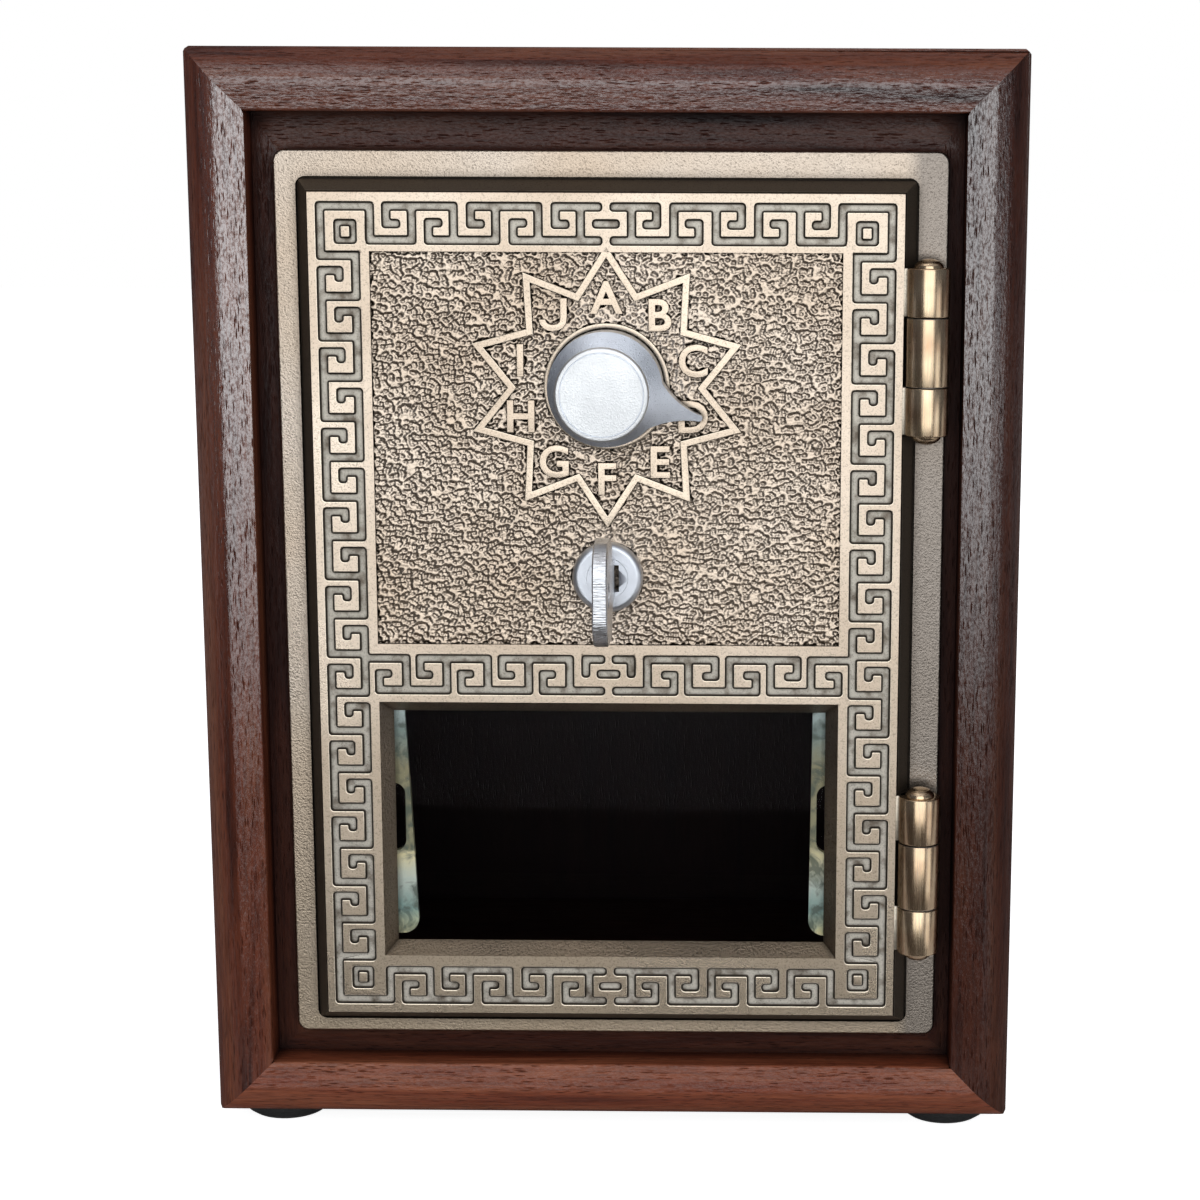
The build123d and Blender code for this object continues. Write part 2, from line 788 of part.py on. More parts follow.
# ---- fence lever ----
def fence_top():
    return dial_z - wheel_radius - fence_gap


def lever_front():
    return stack_back() + 1.2


def fence_lever():
    """Lever on a stud, with a fence bar that lies across the rims of all the wheels."""
    fence_z = fence_top() - fence_height / 2
    front = lever_front()
    arm = slab(hull_arm(lever_x, lever_z, lever_boss, 0, fence_z, lever_tip),
               front, front + lever_thickness)
    fence = block(-fence_width / 2, fence_width / 2, fence_top() - fence_height, fence_top(),
                  wheels_front + spacer_thickness - 0.5, front + 0.5)
    bore = rod(lever_x, lever_z, stud_radius + spindle_clear, front - 1,
               front + lever_thickness + 1)
    return arm + fence - bore


def lever_stud():
    """Stud riveted to the case's floor, with a shoulder and a head that keep the lever."""
    front = lever_front()
    back = front + lever_thickness
    profile = [(0, lock_floor), (stud_radius + 1.2, lock_floor), (stud_radius + 1.2, front - 0.1),
               (stud_radius, front - 0.1), (stud_radius, back + 0.1),
               (stud_radius + 1.2, back + 0.1), (stud_radius + 1.2, back + 0.9), (0, back + 0.9)]
    return turned(profile, lever_x, lever_z)


def lever_spring():
    """Leaf that presses the fence up, on its own small post."""
    fence_low = fence_top() - fence_height
    root_x, root_z = -spring_reach, fence_low - 4.5
    front = wheels_front + spacer_thickness + 2
    half = spring_thickness / 2
    curve = ThreePointArc((root_x, root_z), (root_x / 2, fence_low - 1.3), (0, fence_low - half))
    leaf = slab(trace(curve, spring_thickness), front, front + spring_width)
    post = rod(root_x, root_z, 1.6, lock_floor, front + spring_width)
    return leaf + post


# ---- key lock ----
def key_plane_low():
    return lock_z - keyway_height / 2


def lock_cylinder():
    """Domed face and round body; the body is clamped by its nut behind the lock case."""
    bore = plug_radius + plug_clear
    rise = lock_face_height - lock_face_rim
    dome = [(bore, field_face), (lock_face_radius, field_face)]
    for index in range(lock_face_bands + 1):
        angle = pi / 2 * index / lock_face_bands
        dome.append((bore + (lock_face_radius - bore) * cos(angle),
                     field_face - lock_face_rim - rise * sin(angle)))
    head = turned(dome, 0, lock_z)
    tube = Pos(0, lock_z) * (Circle(lock_body_radius) - Circle(bore))
    return head + slab(tube, field_face - 0.3, lock_body_back)


def cylinder_nut():
    nut = hexagon(0, lock_z, nut_flats, lock_floor, lock_floor + nut_thickness)
    return nut - rod(0, lock_z, lock_body_radius + plug_clear, lock_floor - 1,
                     lock_floor + nut_thickness + 1)


def keyway(extra):
    return rect(-keyway_width / 2 - extra, keyway_width / 2 + extra,
                key_plane_low() - extra, key_plane_low() + keyway_height + extra)


def lock_plug():
    """Plug with its keyway; the square on its end drives the cam."""
    front = field_face - lock_face_height - plug_proud
    plug = rod(0, lock_z, plug_radius, front, cam_front)
    plug -= slab(keyway(keyway_clear), front - 1, field_face + blade_length)
    half = cam_tail / 2
    return plug + block(-half, half, lock_z - half, lock_z + half, cam_front, cam_back)


def cam_pin_place():
    """The pin at rest: up and to the right, with the bolt drawn back."""
    return cam_throw * sin(cam_start), lock_z + cam_throw * cos(cam_start)


def lock_cam():
    half = cam_tail / 2
    hole = rect(-half, half, lock_z - half, lock_z + half)
    cam = slab(Pos(0, lock_z) * Circle(cam_radius) - hole, cam_front, cam_back)
    x, z = cam_pin_place()
    return cam + rod(x, z, cam_pin_radius, cam_back - 0.5, bolt_back + 0.2)


def latch_bolt():
    """Flat bolt with an upright slot for the cam's pin and a tapered nose."""
    x, z = cam_pin_place()
    low, high = lock_z - bolt_height / 2, lock_z + bolt_height / 2
    plate = slab(rect(-bolt_tip_open, bolt_tail, low, high), bolt_front, bolt_back)
    nose = plate.edges().filter_by(Axis.Y).sort_by(Axis.X)[:2]
    plate = chamfer(nose, 1.0)
    half = cam_pin_radius + cam_pin_clear
    slot_high = lock_z + cam_throw + cam_pin_radius + 0.3
    slot_low = z - cam_pin_radius - 0.4
    slot = rect(x - half, x + half, slot_low, slot_high)
    return plate - slab(slot, bolt_front - 1, bolt_back + 1)


def key():
    """Flat key: rounded bow with a hole, shoulder and blade."""
    front, back = -key_reach, -key_reach + bow_length
    collar = field_face - lock_face_height - plug_proud - 0.3
    half = bow_thickness / 2
    side = Plane(origin=(-half, front_y, lock_z), x_dir=(0, 1, 0), z_dir=(1, 0, 0))
    bow = extrude(side * (Pos((front + back) / 2, 0)
                          * RectangleRounded(bow_length, bow_height, bow_corner)), bow_thickness)
    flats = bow.faces().sort_by(Axis.X)
    bow = chamfer(flats[0].edges() + flats[-1].edges(), bow_bevel)
    hole = Pos(front + bow_length * 0.3, 0) * Circle(bow_hole_radius)
    neck = Pos((back + collar) / 2 - 1, 0) * Rectangle(collar - back + 2, key_neck)
    solid = bow - extrude(side * hole, bow_thickness) + extrude(side * neck, bow_thickness)
    blade = slab(keyway(0), collar - 0.5, field_face + blade_length - 0.5)
    return solid + blade


def build():
    parts = {}
    parts.update(case_boards())
    parts.update(inner_frame())
    parts["back_panel"] = back_panel()
    parts["back_screws"] = back_screws()
    parts.update(feet())
    parts["door_frame"] = door_frame()
    parts["frame_screws"] = frame_screws()
    parts["door_leaf"] = door_leaf()
    for name, z in zip(("upper", "lower"), hinge_heights()):
        parts[f"hinge_pin_{name}"] = hinge_pin(z)
    parts["window_glass"] = window_glass()
    parts["glass_clip_left"] = glass_clip(-1)
    parts["glass_clip_right"] = glass_clip(1)
    parts["clip_screws"] = clip_screws()
    parts["lock_case"] = lock_case()
    parts["lock_cover"] = lock_cover_plate()
    parts["lock_screws"] = lock_screws()
    parts["dial_knob"] = dial_knob()
    parts["dial_spindle"] = dial_spindle()
    for name, front in zip(("drive_wheel", "middle_wheel", "rear_wheel"), wheel_fronts()):
        parts[name] = tumbler_wheel(front)
    parts["wheel_spacers"] = wheel_spacers()
    parts["spindle_nut"] = spindle_nut()
    parts["fence_lever"] = fence_lever()
    parts["lever_stud"] = lever_stud()
    parts["lever_spring"] = lever_spring()
    parts["lock_cylinder"] = lock_cylinder()
    parts["cylinder_nut"] = cylinder_nut()
    parts["lock_plug"] = lock_plug()
    parts["lock_cam"] = lock_cam()
    parts["latch_bolt"] = latch_bolt()
    parts["key"] = key()
    return parts


os.makedirs("parts", exist_ok=True)
for node, shape in build().items():
    export_step(shape, f"parts/{node}.step")
print("front plane y", round(front_y, 3), "bolt travel", round(bolt_travel, 3))
print("dial z", dial_z, "lock z", lock_z, "hinge", hinge_x, round(front_y + hinge_depth, 3))
print("lever pivot", lever_x, lever_z, "cam start", round(cam_start, 4))
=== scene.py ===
from math import cos, pi, radians, sin
import bpy
from mathutils import Matrix, Vector


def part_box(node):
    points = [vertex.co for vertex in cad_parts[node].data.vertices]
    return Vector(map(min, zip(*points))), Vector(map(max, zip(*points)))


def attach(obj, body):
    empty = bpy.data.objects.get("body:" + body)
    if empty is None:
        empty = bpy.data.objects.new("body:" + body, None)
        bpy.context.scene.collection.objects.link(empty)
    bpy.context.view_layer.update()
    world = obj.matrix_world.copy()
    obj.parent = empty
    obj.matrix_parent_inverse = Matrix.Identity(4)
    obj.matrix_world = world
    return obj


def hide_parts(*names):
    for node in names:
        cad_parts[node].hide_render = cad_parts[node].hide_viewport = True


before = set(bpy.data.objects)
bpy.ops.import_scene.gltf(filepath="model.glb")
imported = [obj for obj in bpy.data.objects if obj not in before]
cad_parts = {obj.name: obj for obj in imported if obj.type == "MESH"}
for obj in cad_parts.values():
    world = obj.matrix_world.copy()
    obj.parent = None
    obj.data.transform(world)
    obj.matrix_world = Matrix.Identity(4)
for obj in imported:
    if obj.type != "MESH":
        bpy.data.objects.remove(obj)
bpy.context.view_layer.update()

mm = 0.001
hair = 0.01           # millimetres: nearer than this counts as touching
slack = 0.05          # millimetres: a step to one side of an edge
tiny = 0.000001       # metres: points nearer than this lie on one line
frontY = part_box("case_left")[0].y      # front plane of the moulding; depths are measured back from it
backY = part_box("back_panel")[0].y      # front plane of the back panel


def at(x, depth, z):
    # millimetres across, back from the moulding's front and up, as a place in metres
    return Vector((x * mm, frontY + depth * mm, z * mm))


# steps that the pieces share

def clearSelection():
    if bpy.context.object and bpy.context.object.mode != "OBJECT":
        bpy.ops.object.mode_set(mode="OBJECT")
    bpy.ops.object.select_all(action="DESELECT")


def pick(obj):
    clearSelection()
    obj.select_set(True)
    bpy.context.view_layer.objects.active = obj


def settle(obj, name):
    # place, turn and size go into the mesh, so the object ends up at the origin
    pick(obj)
    bpy.ops.object.transform_apply(location=True, rotation=True, scale=True)
    obj.name = name
    obj.data.name = name
    return obj


def addBox(name, left, right, front, back, low, high):
    clearSelection()
    middle = at((left + right) / 2, (front + back) / 2, (low + high) / 2)
    bpy.ops.mesh.primitive_cube_add(size=1, location=middle)
    obj = bpy.context.object
    obj.scale = ((right - left) * mm, (back - front) * mm, (high - low) * mm)
    return settle(obj, name)


def addRod(name, x, z, radius, front, back, sides=96, ends="NGON"):
    # a disc or bar whose axis runs from front to back
    clearSelection()
    bpy.ops.mesh.primitive_cylinder_add(vertices=sides, radius=radius * mm, depth=(back - front) * mm,
                                        end_fill_type=ends, location=at(x, (front + back) / 2, z),
                                        rotation=(pi / 2, 0, 0))
    return settle(bpy.context.object, name)


def applyModifier(obj, kind, **values):
    pick(obj)
    modifier = obj.modifiers.new(kind.title(), kind)
    for key, value in values.items():
        setattr(modifier, key, value)
    bpy.ops.object.modifier_apply(modifier=modifier.name)


def softenEdges(obj, width, segments=2, angle=35):
    applyModifier(obj, "BEVEL", width=width * mm, segments=segments, limit_method="ANGLE",
                  angle_limit=radians(angle), harden_normals=False)


def cutAway(obj, cutter):
    applyModifier(obj, "BOOLEAN", object=cutter, operation="DIFFERENCE", solver="EXACT")
    bpy.data.objects.remove(cutter)


def selectWhere(obj, test, mode="FACE"):
    # leaves the piece in edit mode with only the parts that pass the test selected
    pick(obj)
    bpy.ops.object.mode_set(mode="EDIT")
    bpy.ops.mesh.select_mode(type=mode)
    bpy.ops.mesh.select_all(action="DESELECT")
    bpy.ops.object.mode_set(mode="OBJECT")
    parts = {"FACE": obj.data.polygons, "EDGE": obj.data.edges, "VERT": obj.data.vertices}[mode]
    for part in parts:
        part.select = test(part)
    bpy.ops.object.mode_set(mode="EDIT")


def editAll(obj):
    pick(obj)
    bpy.ops.object.mode_set(mode="EDIT")
    bpy.ops.mesh.select_all(action="SELECT")


def finishEdit():
    bpy.ops.object.mode_set(mode="OBJECT")


def cleanMesh(obj, distance=0.00001):
    editAll(obj)
    bpy.ops.mesh.remove_doubles(threshold=distance)
    bpy.ops.mesh.normals_make_consistent(inside=False)
    finishEdit()


def wear(obj, material):
    obj.data.materials.clear()
    obj.data.materials.append(material)


def finishPiece(obj, angle, material, weighted=False):
    # smooth where faces meet under the angle; weighted keeps large flat faces flat beside their bevels
    pick(obj)
    bpy.ops.object.shade_smooth_by_angle(angle=radians(angle))
    if weighted:
        applyModifier(obj, "WEIGHTED_NORMAL", keep_sharp=True)
    wear(obj, material)


def joinPieces(pieces, name):
    pick(pieces[0])
    for piece in pieces:
        piece.select_set(True)
    bpy.ops.object.join()
    joined = bpy.context.object
    joined.name = name
    joined.data.name = name
    return joined


def copyPiece(obj, name, mirrored=False):
    twin = obj.copy()
    twin.data = obj.data.copy()
    bpy.context.scene.collection.objects.link(twin)
    if mirrored:
        twin.scale = (-1, 1, 1)
    return settle(twin, name)


# steps that the finishes share

def connect(tree, value, socket):
    # links a socket; anything else becomes the value, and a colour gets its alpha
    if isinstance(value, bpy.types.NodeSocket):
        tree.links.new(value, socket)
    elif isinstance(value, tuple) and socket.type == "RGBA":
        socket.default_value = (*value[:3], 1)
    else:
        socket.default_value = value


def newMaterial(name, constants):
    material = bpy.data.materials.new(name)
    material.use_nodes = True
    tree = material.node_tree
    shader = tree.nodes["Principled BSDF"]
    for key, value in constants.items():
        connect(tree, value, shader.inputs[key])
    return material, tree, shader


def node(tree, kind, inputs=None, **settings):
    made = tree.nodes.new("ShaderNode" + kind)
    for key, value in settings.items():
        setattr(made, key, value)
    for key, value in (inputs or {}).items():
        connect(tree, value, made.inputs[key])
    return made


def placedCoords(tree, scale=(1, 1, 1), shift=(0, 0, 0)):
    coords = node(tree, "TexCoord").outputs["Object"]
    placed = node(tree, "Mapping", {"Vector": coords, "Scale": scale, "Location": shift})
    return placed.outputs["Vector"]


def along(tree, coords, axis):
    return node(tree, "SeparateXYZ", {"Vector": coords}).outputs[axis]


def fade(tree, value, start, end, first=0.0, last=1.0):
    # first at the start, last at the end, level beyond them
    return node(tree, "MapRange", {"Value": value, "From Min": start, "From Max": end, "To Min": first,
                                   "To Max": last}).outputs["Result"]


def noise(tree, coords, scale, detail=3.0, rough=0.55, warp=0.0):
    return node(tree, "TexNoise", {"Vector": coords, "Scale": scale, "Detail": detail,
                                   "Roughness": rough, "Distortion": warp}).outputs["Fac"]


def ramp(tree, value, stops):
    # stops are (position, colour) or (position, grey value)
    made = node(tree, "ValToRGB", {"Fac": value})
    band = made.color_ramp
    while len(band.elements) < len(stops):
        band.elements.new(0.5)
    for element, (place, tone) in zip(band.elements, stops):
        element.position = place
        element.color = (*tone, 1) if isinstance(tone, tuple) else (tone, tone, tone, 1)
    return made.outputs["Color"]


def blendColors(tree, factor, first, second):
    return node(tree, "Mix", {0: factor, 6: first, 7: second}, data_type="RGBA").outputs[2]


def rampBlend(tree, value, stops, first, second):
    # the second colour lies over the first where the ramp of the value is high
    return blendColors(tree, ramp(tree, value, stops), first, second)


def arithmetic(tree, how, first, second=0.5, clamp=False):
    return node(tree, "Math", {0: first, 1: second}, operation=how, use_clamp=clamp).outputs[0]


def bump(tree, shader, height, distance):
    # a second bump lies on top of the first
    made = node(tree, "Bump", {"Height": height, "Distance": distance * mm})
    if shader.inputs["Normal"].is_linked:
        tree.links.new(shader.inputs["Normal"].links[0].from_socket, made.inputs["Normal"])
    tree.links.new(made.outputs["Normal"], shader.inputs["Normal"])


def crevice(tree, distance):
    # 1 on open faces, falling to 0 in corners and recesses
    return node(tree, "AmbientOcclusion", {"Distance": distance * mm}, samples=8).outputs["AO"]


# fitted to the edges of the case and the door in the photograph
camera = {"place": (0.0288, -0.5028, 0.1926), "pitch": -10.58, "yaw": 0.52, "roll": -0.23,
          "sensor": 36, "focalPixels": 2500, "middleColumn": 740, "imageWidth": 1200}


def addCamera():
    clearSelection()
    bpy.ops.object.camera_add(location=camera["place"])
    eye = bpy.context.object
    turn = Matrix.Identity(4)
    for angle, axis in ((camera["yaw"], "Z"), (camera["pitch"], "X"), (camera["roll"], "Y"), (90, "X")):
        turn = turn @ Matrix.Rotation(radians(angle), 4, axis)
    eye.matrix_world = Matrix.Translation(camera["place"]) @ turn
    eye.data.sensor_width = camera["sensor"]
    eye.data.lens = camera["sensor"] * camera["focalPixels"] / camera["imageWidth"]
    eye.data.shift_x = (camera["imageWidth"] / 2 - camera["middleColumn"]) / camera["imageWidth"]
    eye.data.clip_start = 0.01
    bpy.context.scene.camera = eye


# a pale table that ends just before the object, so that the brass and the glass mirror the dim room
# below the big soft window light in front, as in the photograph
studio = {"floorFront": -0.085, "floorBack": 2.6, "floorHalf": 2.4, "floorColor": (0.86, 0.86, 0.86),
          "lift": 0.9, "skyLow": -0.30, "skyTone": (0.10, 0.105, 0.118),
          "roomTone": (0.055, 0.05, 0.047), "topTone": (0.46, 0.46, 0.48)}
lamps = {"window": {"place": (0.06, -1.5, 0.56), "aim": (0.03, 0, 0.54), "size": (1.56, 1.8),
                    "power": 16.6, "tone": (0.95, 0.98, 1.0)},
         "skylight": {"place": (-0.25, -0.35, 1.05), "aim": (0.0, 0, 0.12), "size": (0.5, 0.4),
                      "power": 0.6, "tone": (1.0, 0.98, 0.96)},
         "side": {"place": (1.25, -0.95, -0.24), "aim": (0.0, 0, 0.13), "size": (0.7, 0.8),
                  "power": 1.9, "tone": (0.96, 0.98, 1.0)},
         "rear": {"place": (0.7, 1.5, 0.9), "aim": (0.0, 0.0, 0.1), "size": (1.4, 1.2),
                  "power": 9.0, "tone": (1.0, 0.98, 0.96)}}


def addStudio():
    scene = bpy.context.scene
    scene.view_settings.view_transform = "Standard"
    world = bpy.data.worlds.new("studioAir")
    scene.world = world
    world.use_nodes = True
    tree = world.node_tree
    height = along(tree, node(tree, "TexCoord").outputs["Generated"], "Z")
    level = fade(tree, height, studio["skyLow"], 1.0)
    plain = tree.nodes["Background"]
    tone = ramp(tree, level, [(0.02, studio["roomTone"]), (0.27, studio["skyTone"]),
                              (0.68, studio["skyTone"]), (0.9, studio["topTone"])])
    tree.links.new(tone, plain.inputs["Color"])
    plain.inputs["Strength"].default_value = 1.0
    white = node(tree, "Background", {"Color": (1, 1, 1, 1), "Strength": 1.0})
    rays = node(tree, "LightPath")
    mixer = node(tree, "MixShader", {0: rays.outputs["Is Camera Ray"], 1: plain.outputs[0],
                                     2: white.outputs[0]})
    tree.links.new(mixer.outputs[0], tree.nodes["World Output"].inputs["Surface"])

    clearSelection()
    middle = (studio["floorFront"] + studio["floorBack"]) / 2
    bpy.ops.mesh.primitive_plane_add(size=1, location=(0, middle, 0))
    floor = bpy.context.object
    floor.scale = (2 * studio["floorHalf"], studio["floorBack"] - studio["floorFront"], 1)
    settle(floor, "floor")
    constants = {"Base Color": studio["floorColor"], "Roughness": 0.9, "Specular IOR Level": 0.0,
                 "Emission Color": (1, 1, 1)}
    material, tree, shader = newMaterial("paleFloor", constants)
    rays = node(tree, "LightPath")
    seen = arithmetic(tree, "MAXIMUM", rays.outputs["Is Camera Ray"],
                      rays.outputs["Is Transmission Ray"])
    lift = arithmetic(tree, "MULTIPLY", seen, studio["lift"])
    tree.links.new(lift, shader.inputs["Emission Strength"])
    wear(floor, material)


def addLamps():
    for name, lamp in lamps.items():
        clearSelection()
        bpy.ops.object.light_add(type="AREA", location=lamp["place"])
        light = bpy.context.object
        light.name = name
        light.data.shape = "RECTANGLE"
        light.data.size, light.data.size_y = lamp["size"]
        light.data.energy = lamp["power"]
        light.data.color = lamp["tone"]
        facing = Vector(lamp["aim"]) - Vector(lamp["place"])
        light.rotation_euler = facing.to_track_quat("-Z", "Y").to_euler()


brass = {"light": (0.64, 0.535, 0.435), "warm": (0.54, 0.43, 0.33), "dark": (0.045, 0.036, 0.028),
         "dull": (0.36, 0.28, 0.185), "floor": (0.58, 0.535, 0.46), "olive": (0.20, 0.165, 0.130),
         "polished": (0.80, 0.62, 0.41), "copper": (0.55, 0.36, 0.22), "worn": (0.74, 0.615, 0.485),
         "frame": (0.53, 0.45, 0.375), "bevel": (0.25, 0.215, 0.185), "rightShadeColour": (0.20, 0.18, 0.165),
         "rubbedLipHighlight": (0.95, 0.84, 0.68), "paleFloor": (0.68, 0.63, 0.55), "roughness": 0.29, "patinaAndShadeStrength": 0.9}
# metres: where painted shade darkens the low part, by how much, and where painted shade darkens the right
# side
paintedShadeZones = {"low": 0.015, "high": 0.105, "lowShadeStrength": 0.72, "sideStart": 0.0545, "sideEnd": 0.0575}


def castBrass(name, grainSize=0.28, grainDepth=0.03, reach=0.7, layered=False, face="light", rightShadeAmount=0.0):
    # antique cast brass: bright on the high faces, grey-green in the grooves, olive on the bevels
    material, tree, shader = newMaterial(name, {"Metallic": 1.0})
    coords = placedCoords(tree)
    broad = noise(tree, coords, 28, 4)
    fine = noise(tree, coords, 1 / (grainSize * mm), 3, 0.6)
    blotch = noise(tree, coords, 380, 3)
    tone = rampBlend(tree, broad, [(0.35, 0.0), (0.65, 1.0)], brass["warm"], brass[face])
    # painted shade: the brass is darker towards the bottom
    low = fade(tree, along(tree, coords, "Z"), paintedShadeZones["low"], paintedShadeZones["high"], paintedShadeZones["lowShadeStrength"], 0.0)
    tone = blendColors(tree, low, tone, brass["dull"])
    # painted shade: darker on the right side
    if rightShadeAmount:
        side = fade(tree, along(tree, coords, "X"), paintedShadeZones["sideStart"], paintedShadeZones["sideEnd"], 0.0, rightShadeAmount)
        tone = blendColors(tree, side, tone, brass["rightShadeColour"])
    if layered:
        # by depth, where a stop of 0.25 is 1 mm: lip (rubbed bright, with a painted highlight), wall
        # (painted shade), groove floor, back
        depth = fade(tree, along(tree, coords, "Y"), frontY, frontY + 4 * mm)
        # where the low part is painted darker, the groove floors turn paler
        lower = arithmetic(tree, "MULTIPLY", low, 1.5, clamp=True)
        bare = blendColors(tree, lower, brass["floor"], brass["paleFloor"])
        floorTone = rampBlend(tree, blotch, [(0.28, 0.0), (0.52, 1.0)], brass["olive"], bare)
        tone = rampBlend(tree, depth, [(0.25, 0.0), (0.31, 1.0)], tone, floorTone)
        tone = rampBlend(tree, depth, [(0.358, 0.0), (0.37, 1.0)], tone, brass["olive"])
        # the lips: rubbed bright brass with a painted highlight on them
        lip = ramp(tree, depth, [(0.201, 0.0), (0.208, 0.9), (0.222, 0.9), (0.234, 0.0)])
        tone = blendColors(tree, lip, tone, brass["rubbedLipHighlight"])
        # painted shade on the grooves' walls
        wall = ramp(tree, depth, [(0.222, 0.0), (0.238, 0.95), (0.342, 0.95), (0.356, 0.0)])
        tone = blendColors(tree, wall, tone, brass["dark"])
    # crevice darkening: patina in the hollows, and painted shade where shade falls
    shade = ramp(tree, crevice(tree, reach), [(0.38, 1.0), (0.78, 0.5), (0.95, 0.0)])
    crevicePatinaAndShade = arithmetic(tree, "MULTIPLY", shade, brass["patinaAndShadeStrength"], clamp=True)
    tone = blendColors(tree, crevicePatinaAndShade, tone, brass["dark"])
    tone = rampBlend(tree, fine, [(0.30, 0.45), (0.48, 0.0)], tone, brass["dark"])
    tree.links.new(tone, shader.inputs["Base Color"])
    rough = ramp(tree, broad, [(0.3, brass["roughness"] + 0.05), (0.7, brass["roughness"] - 0.04)])
    if layered:
        rough = rampBlend(tree, depth, [(0.22, 0.0), (0.3, 1.0)], rough, (0.47, 0.47, 0.47))
    tree.links.new(blendColors(tree, crevicePatinaAndShade, rough, (0.62, 0.62, 0.62)), shader.inputs["Roughness"])
    bump(tree, shader, fine, grainDepth)
    return material


ground = {"crest": 1.4, "pit": 2.0}      # depths between which the ground goes from worn to dark


def pebbledBrass(name):
    # the field's leathery ground: worn crests, dark pits
    material, tree, shader = newMaterial(name, {"Metallic": 1.0})
    coords = placedCoords(tree)
    broad = noise(tree, coords, 42, 3)
    fine = noise(tree, coords, 2600, 3, 0.6)
    tone = rampBlend(tree, broad, [(0.35, 0.0), (0.65, 1.0)], brass["warm"], brass["light"])
    depth = fade(tree, along(tree, coords, "Y"), frontY + ground["crest"] * mm,
                 frontY + ground["pit"] * mm)
    pit = ramp(tree, depth, [(0.64, 0.0), (0.92, 1.0)])
    tone = blendColors(tree, arithmetic(tree, "MULTIPLY", pit, 0.5), tone, brass["olive"])
    tone = rampBlend(tree, fine, [(0.34, 0.5), (0.45, 0.0)], tone, brass["olive"])
    # crevice darkening: patina in the hollows, and painted shade where shade falls
    crevicePatinaAndShade = ramp(tree, crevice(tree, 0.9), [(0.40, 0.95), (0.66, 0.0)])
    tone = blendColors(tree, crevicePatinaAndShade, tone, brass["dark"])
    # painted shade on the ground beside the letters and the star
    foot = ramp(tree, crevice(tree, 2.0), [(0.44, 0.9), (0.64, 0.0)])    # beside letters and star
    tone = blendColors(tree, foot, tone, brass["dark"])
    tree.links.new(tone, shader.inputs["Base Color"])
    tree.links.new(ramp(tree, pit, [(0.0, 0.29), (1.0, 0.42)]), shader.inputs["Roughness"])
    bump(tree, shader, fine, 0.05)
    return material


def polishedBrass(name):
    # bright brass with fine upright streaks
    material, tree, shader = newMaterial(name, {"Metallic": 1.0})
    streaks = noise(tree, placedCoords(tree, scale=(1, 1, 0.03)), 5200, 2)
    broad = noise(tree, placedCoords(tree), 160, 2)
    tone = rampBlend(tree, broad, [(0.35, 0.0), (0.7, 1.0)], brass["polished"], brass["copper"])
    tone = rampBlend(tree, streaks, [(0.35, 0.35), (0.6, 0.0)], tone, brass["warm"])
    tree.links.new(tone, shader.inputs["Base Color"])
    tree.links.new(ramp(tree, streaks, [(0.3, 0.30), (0.7, 0.17)]), shader.inputs["Roughness"])
    bump(tree, shader, streaks, 0.006)
    return material


# metres: the inside of the case, painted nearly black as shade because little light reaches it
hollow = {"halfWidth": 0.0665, "middle": 0.1058, "halfHeight": 0.0915, "shift": 0.012, "inset": 0.0115,
          "margin": 0.0035, "tone": (0.005, 0.003, 0.004)}
# the finish is glossier high up and on the moulding's front
wood = {"dark": (0.034, 0.008, 0.005), "mid": (0.158, 0.038, 0.017), "light": (0.236, 0.078, 0.037),
        "paintedCornerShade": (0.010, 0.005, 0.005), "coat": (0.93, 0.92, 1.0), "dimZ": 0.07, "brightZ": 0.15,
        "dim": 0.16, "frontDepth": 0.9, "sideDepth": 2.0, "side": 0.3}


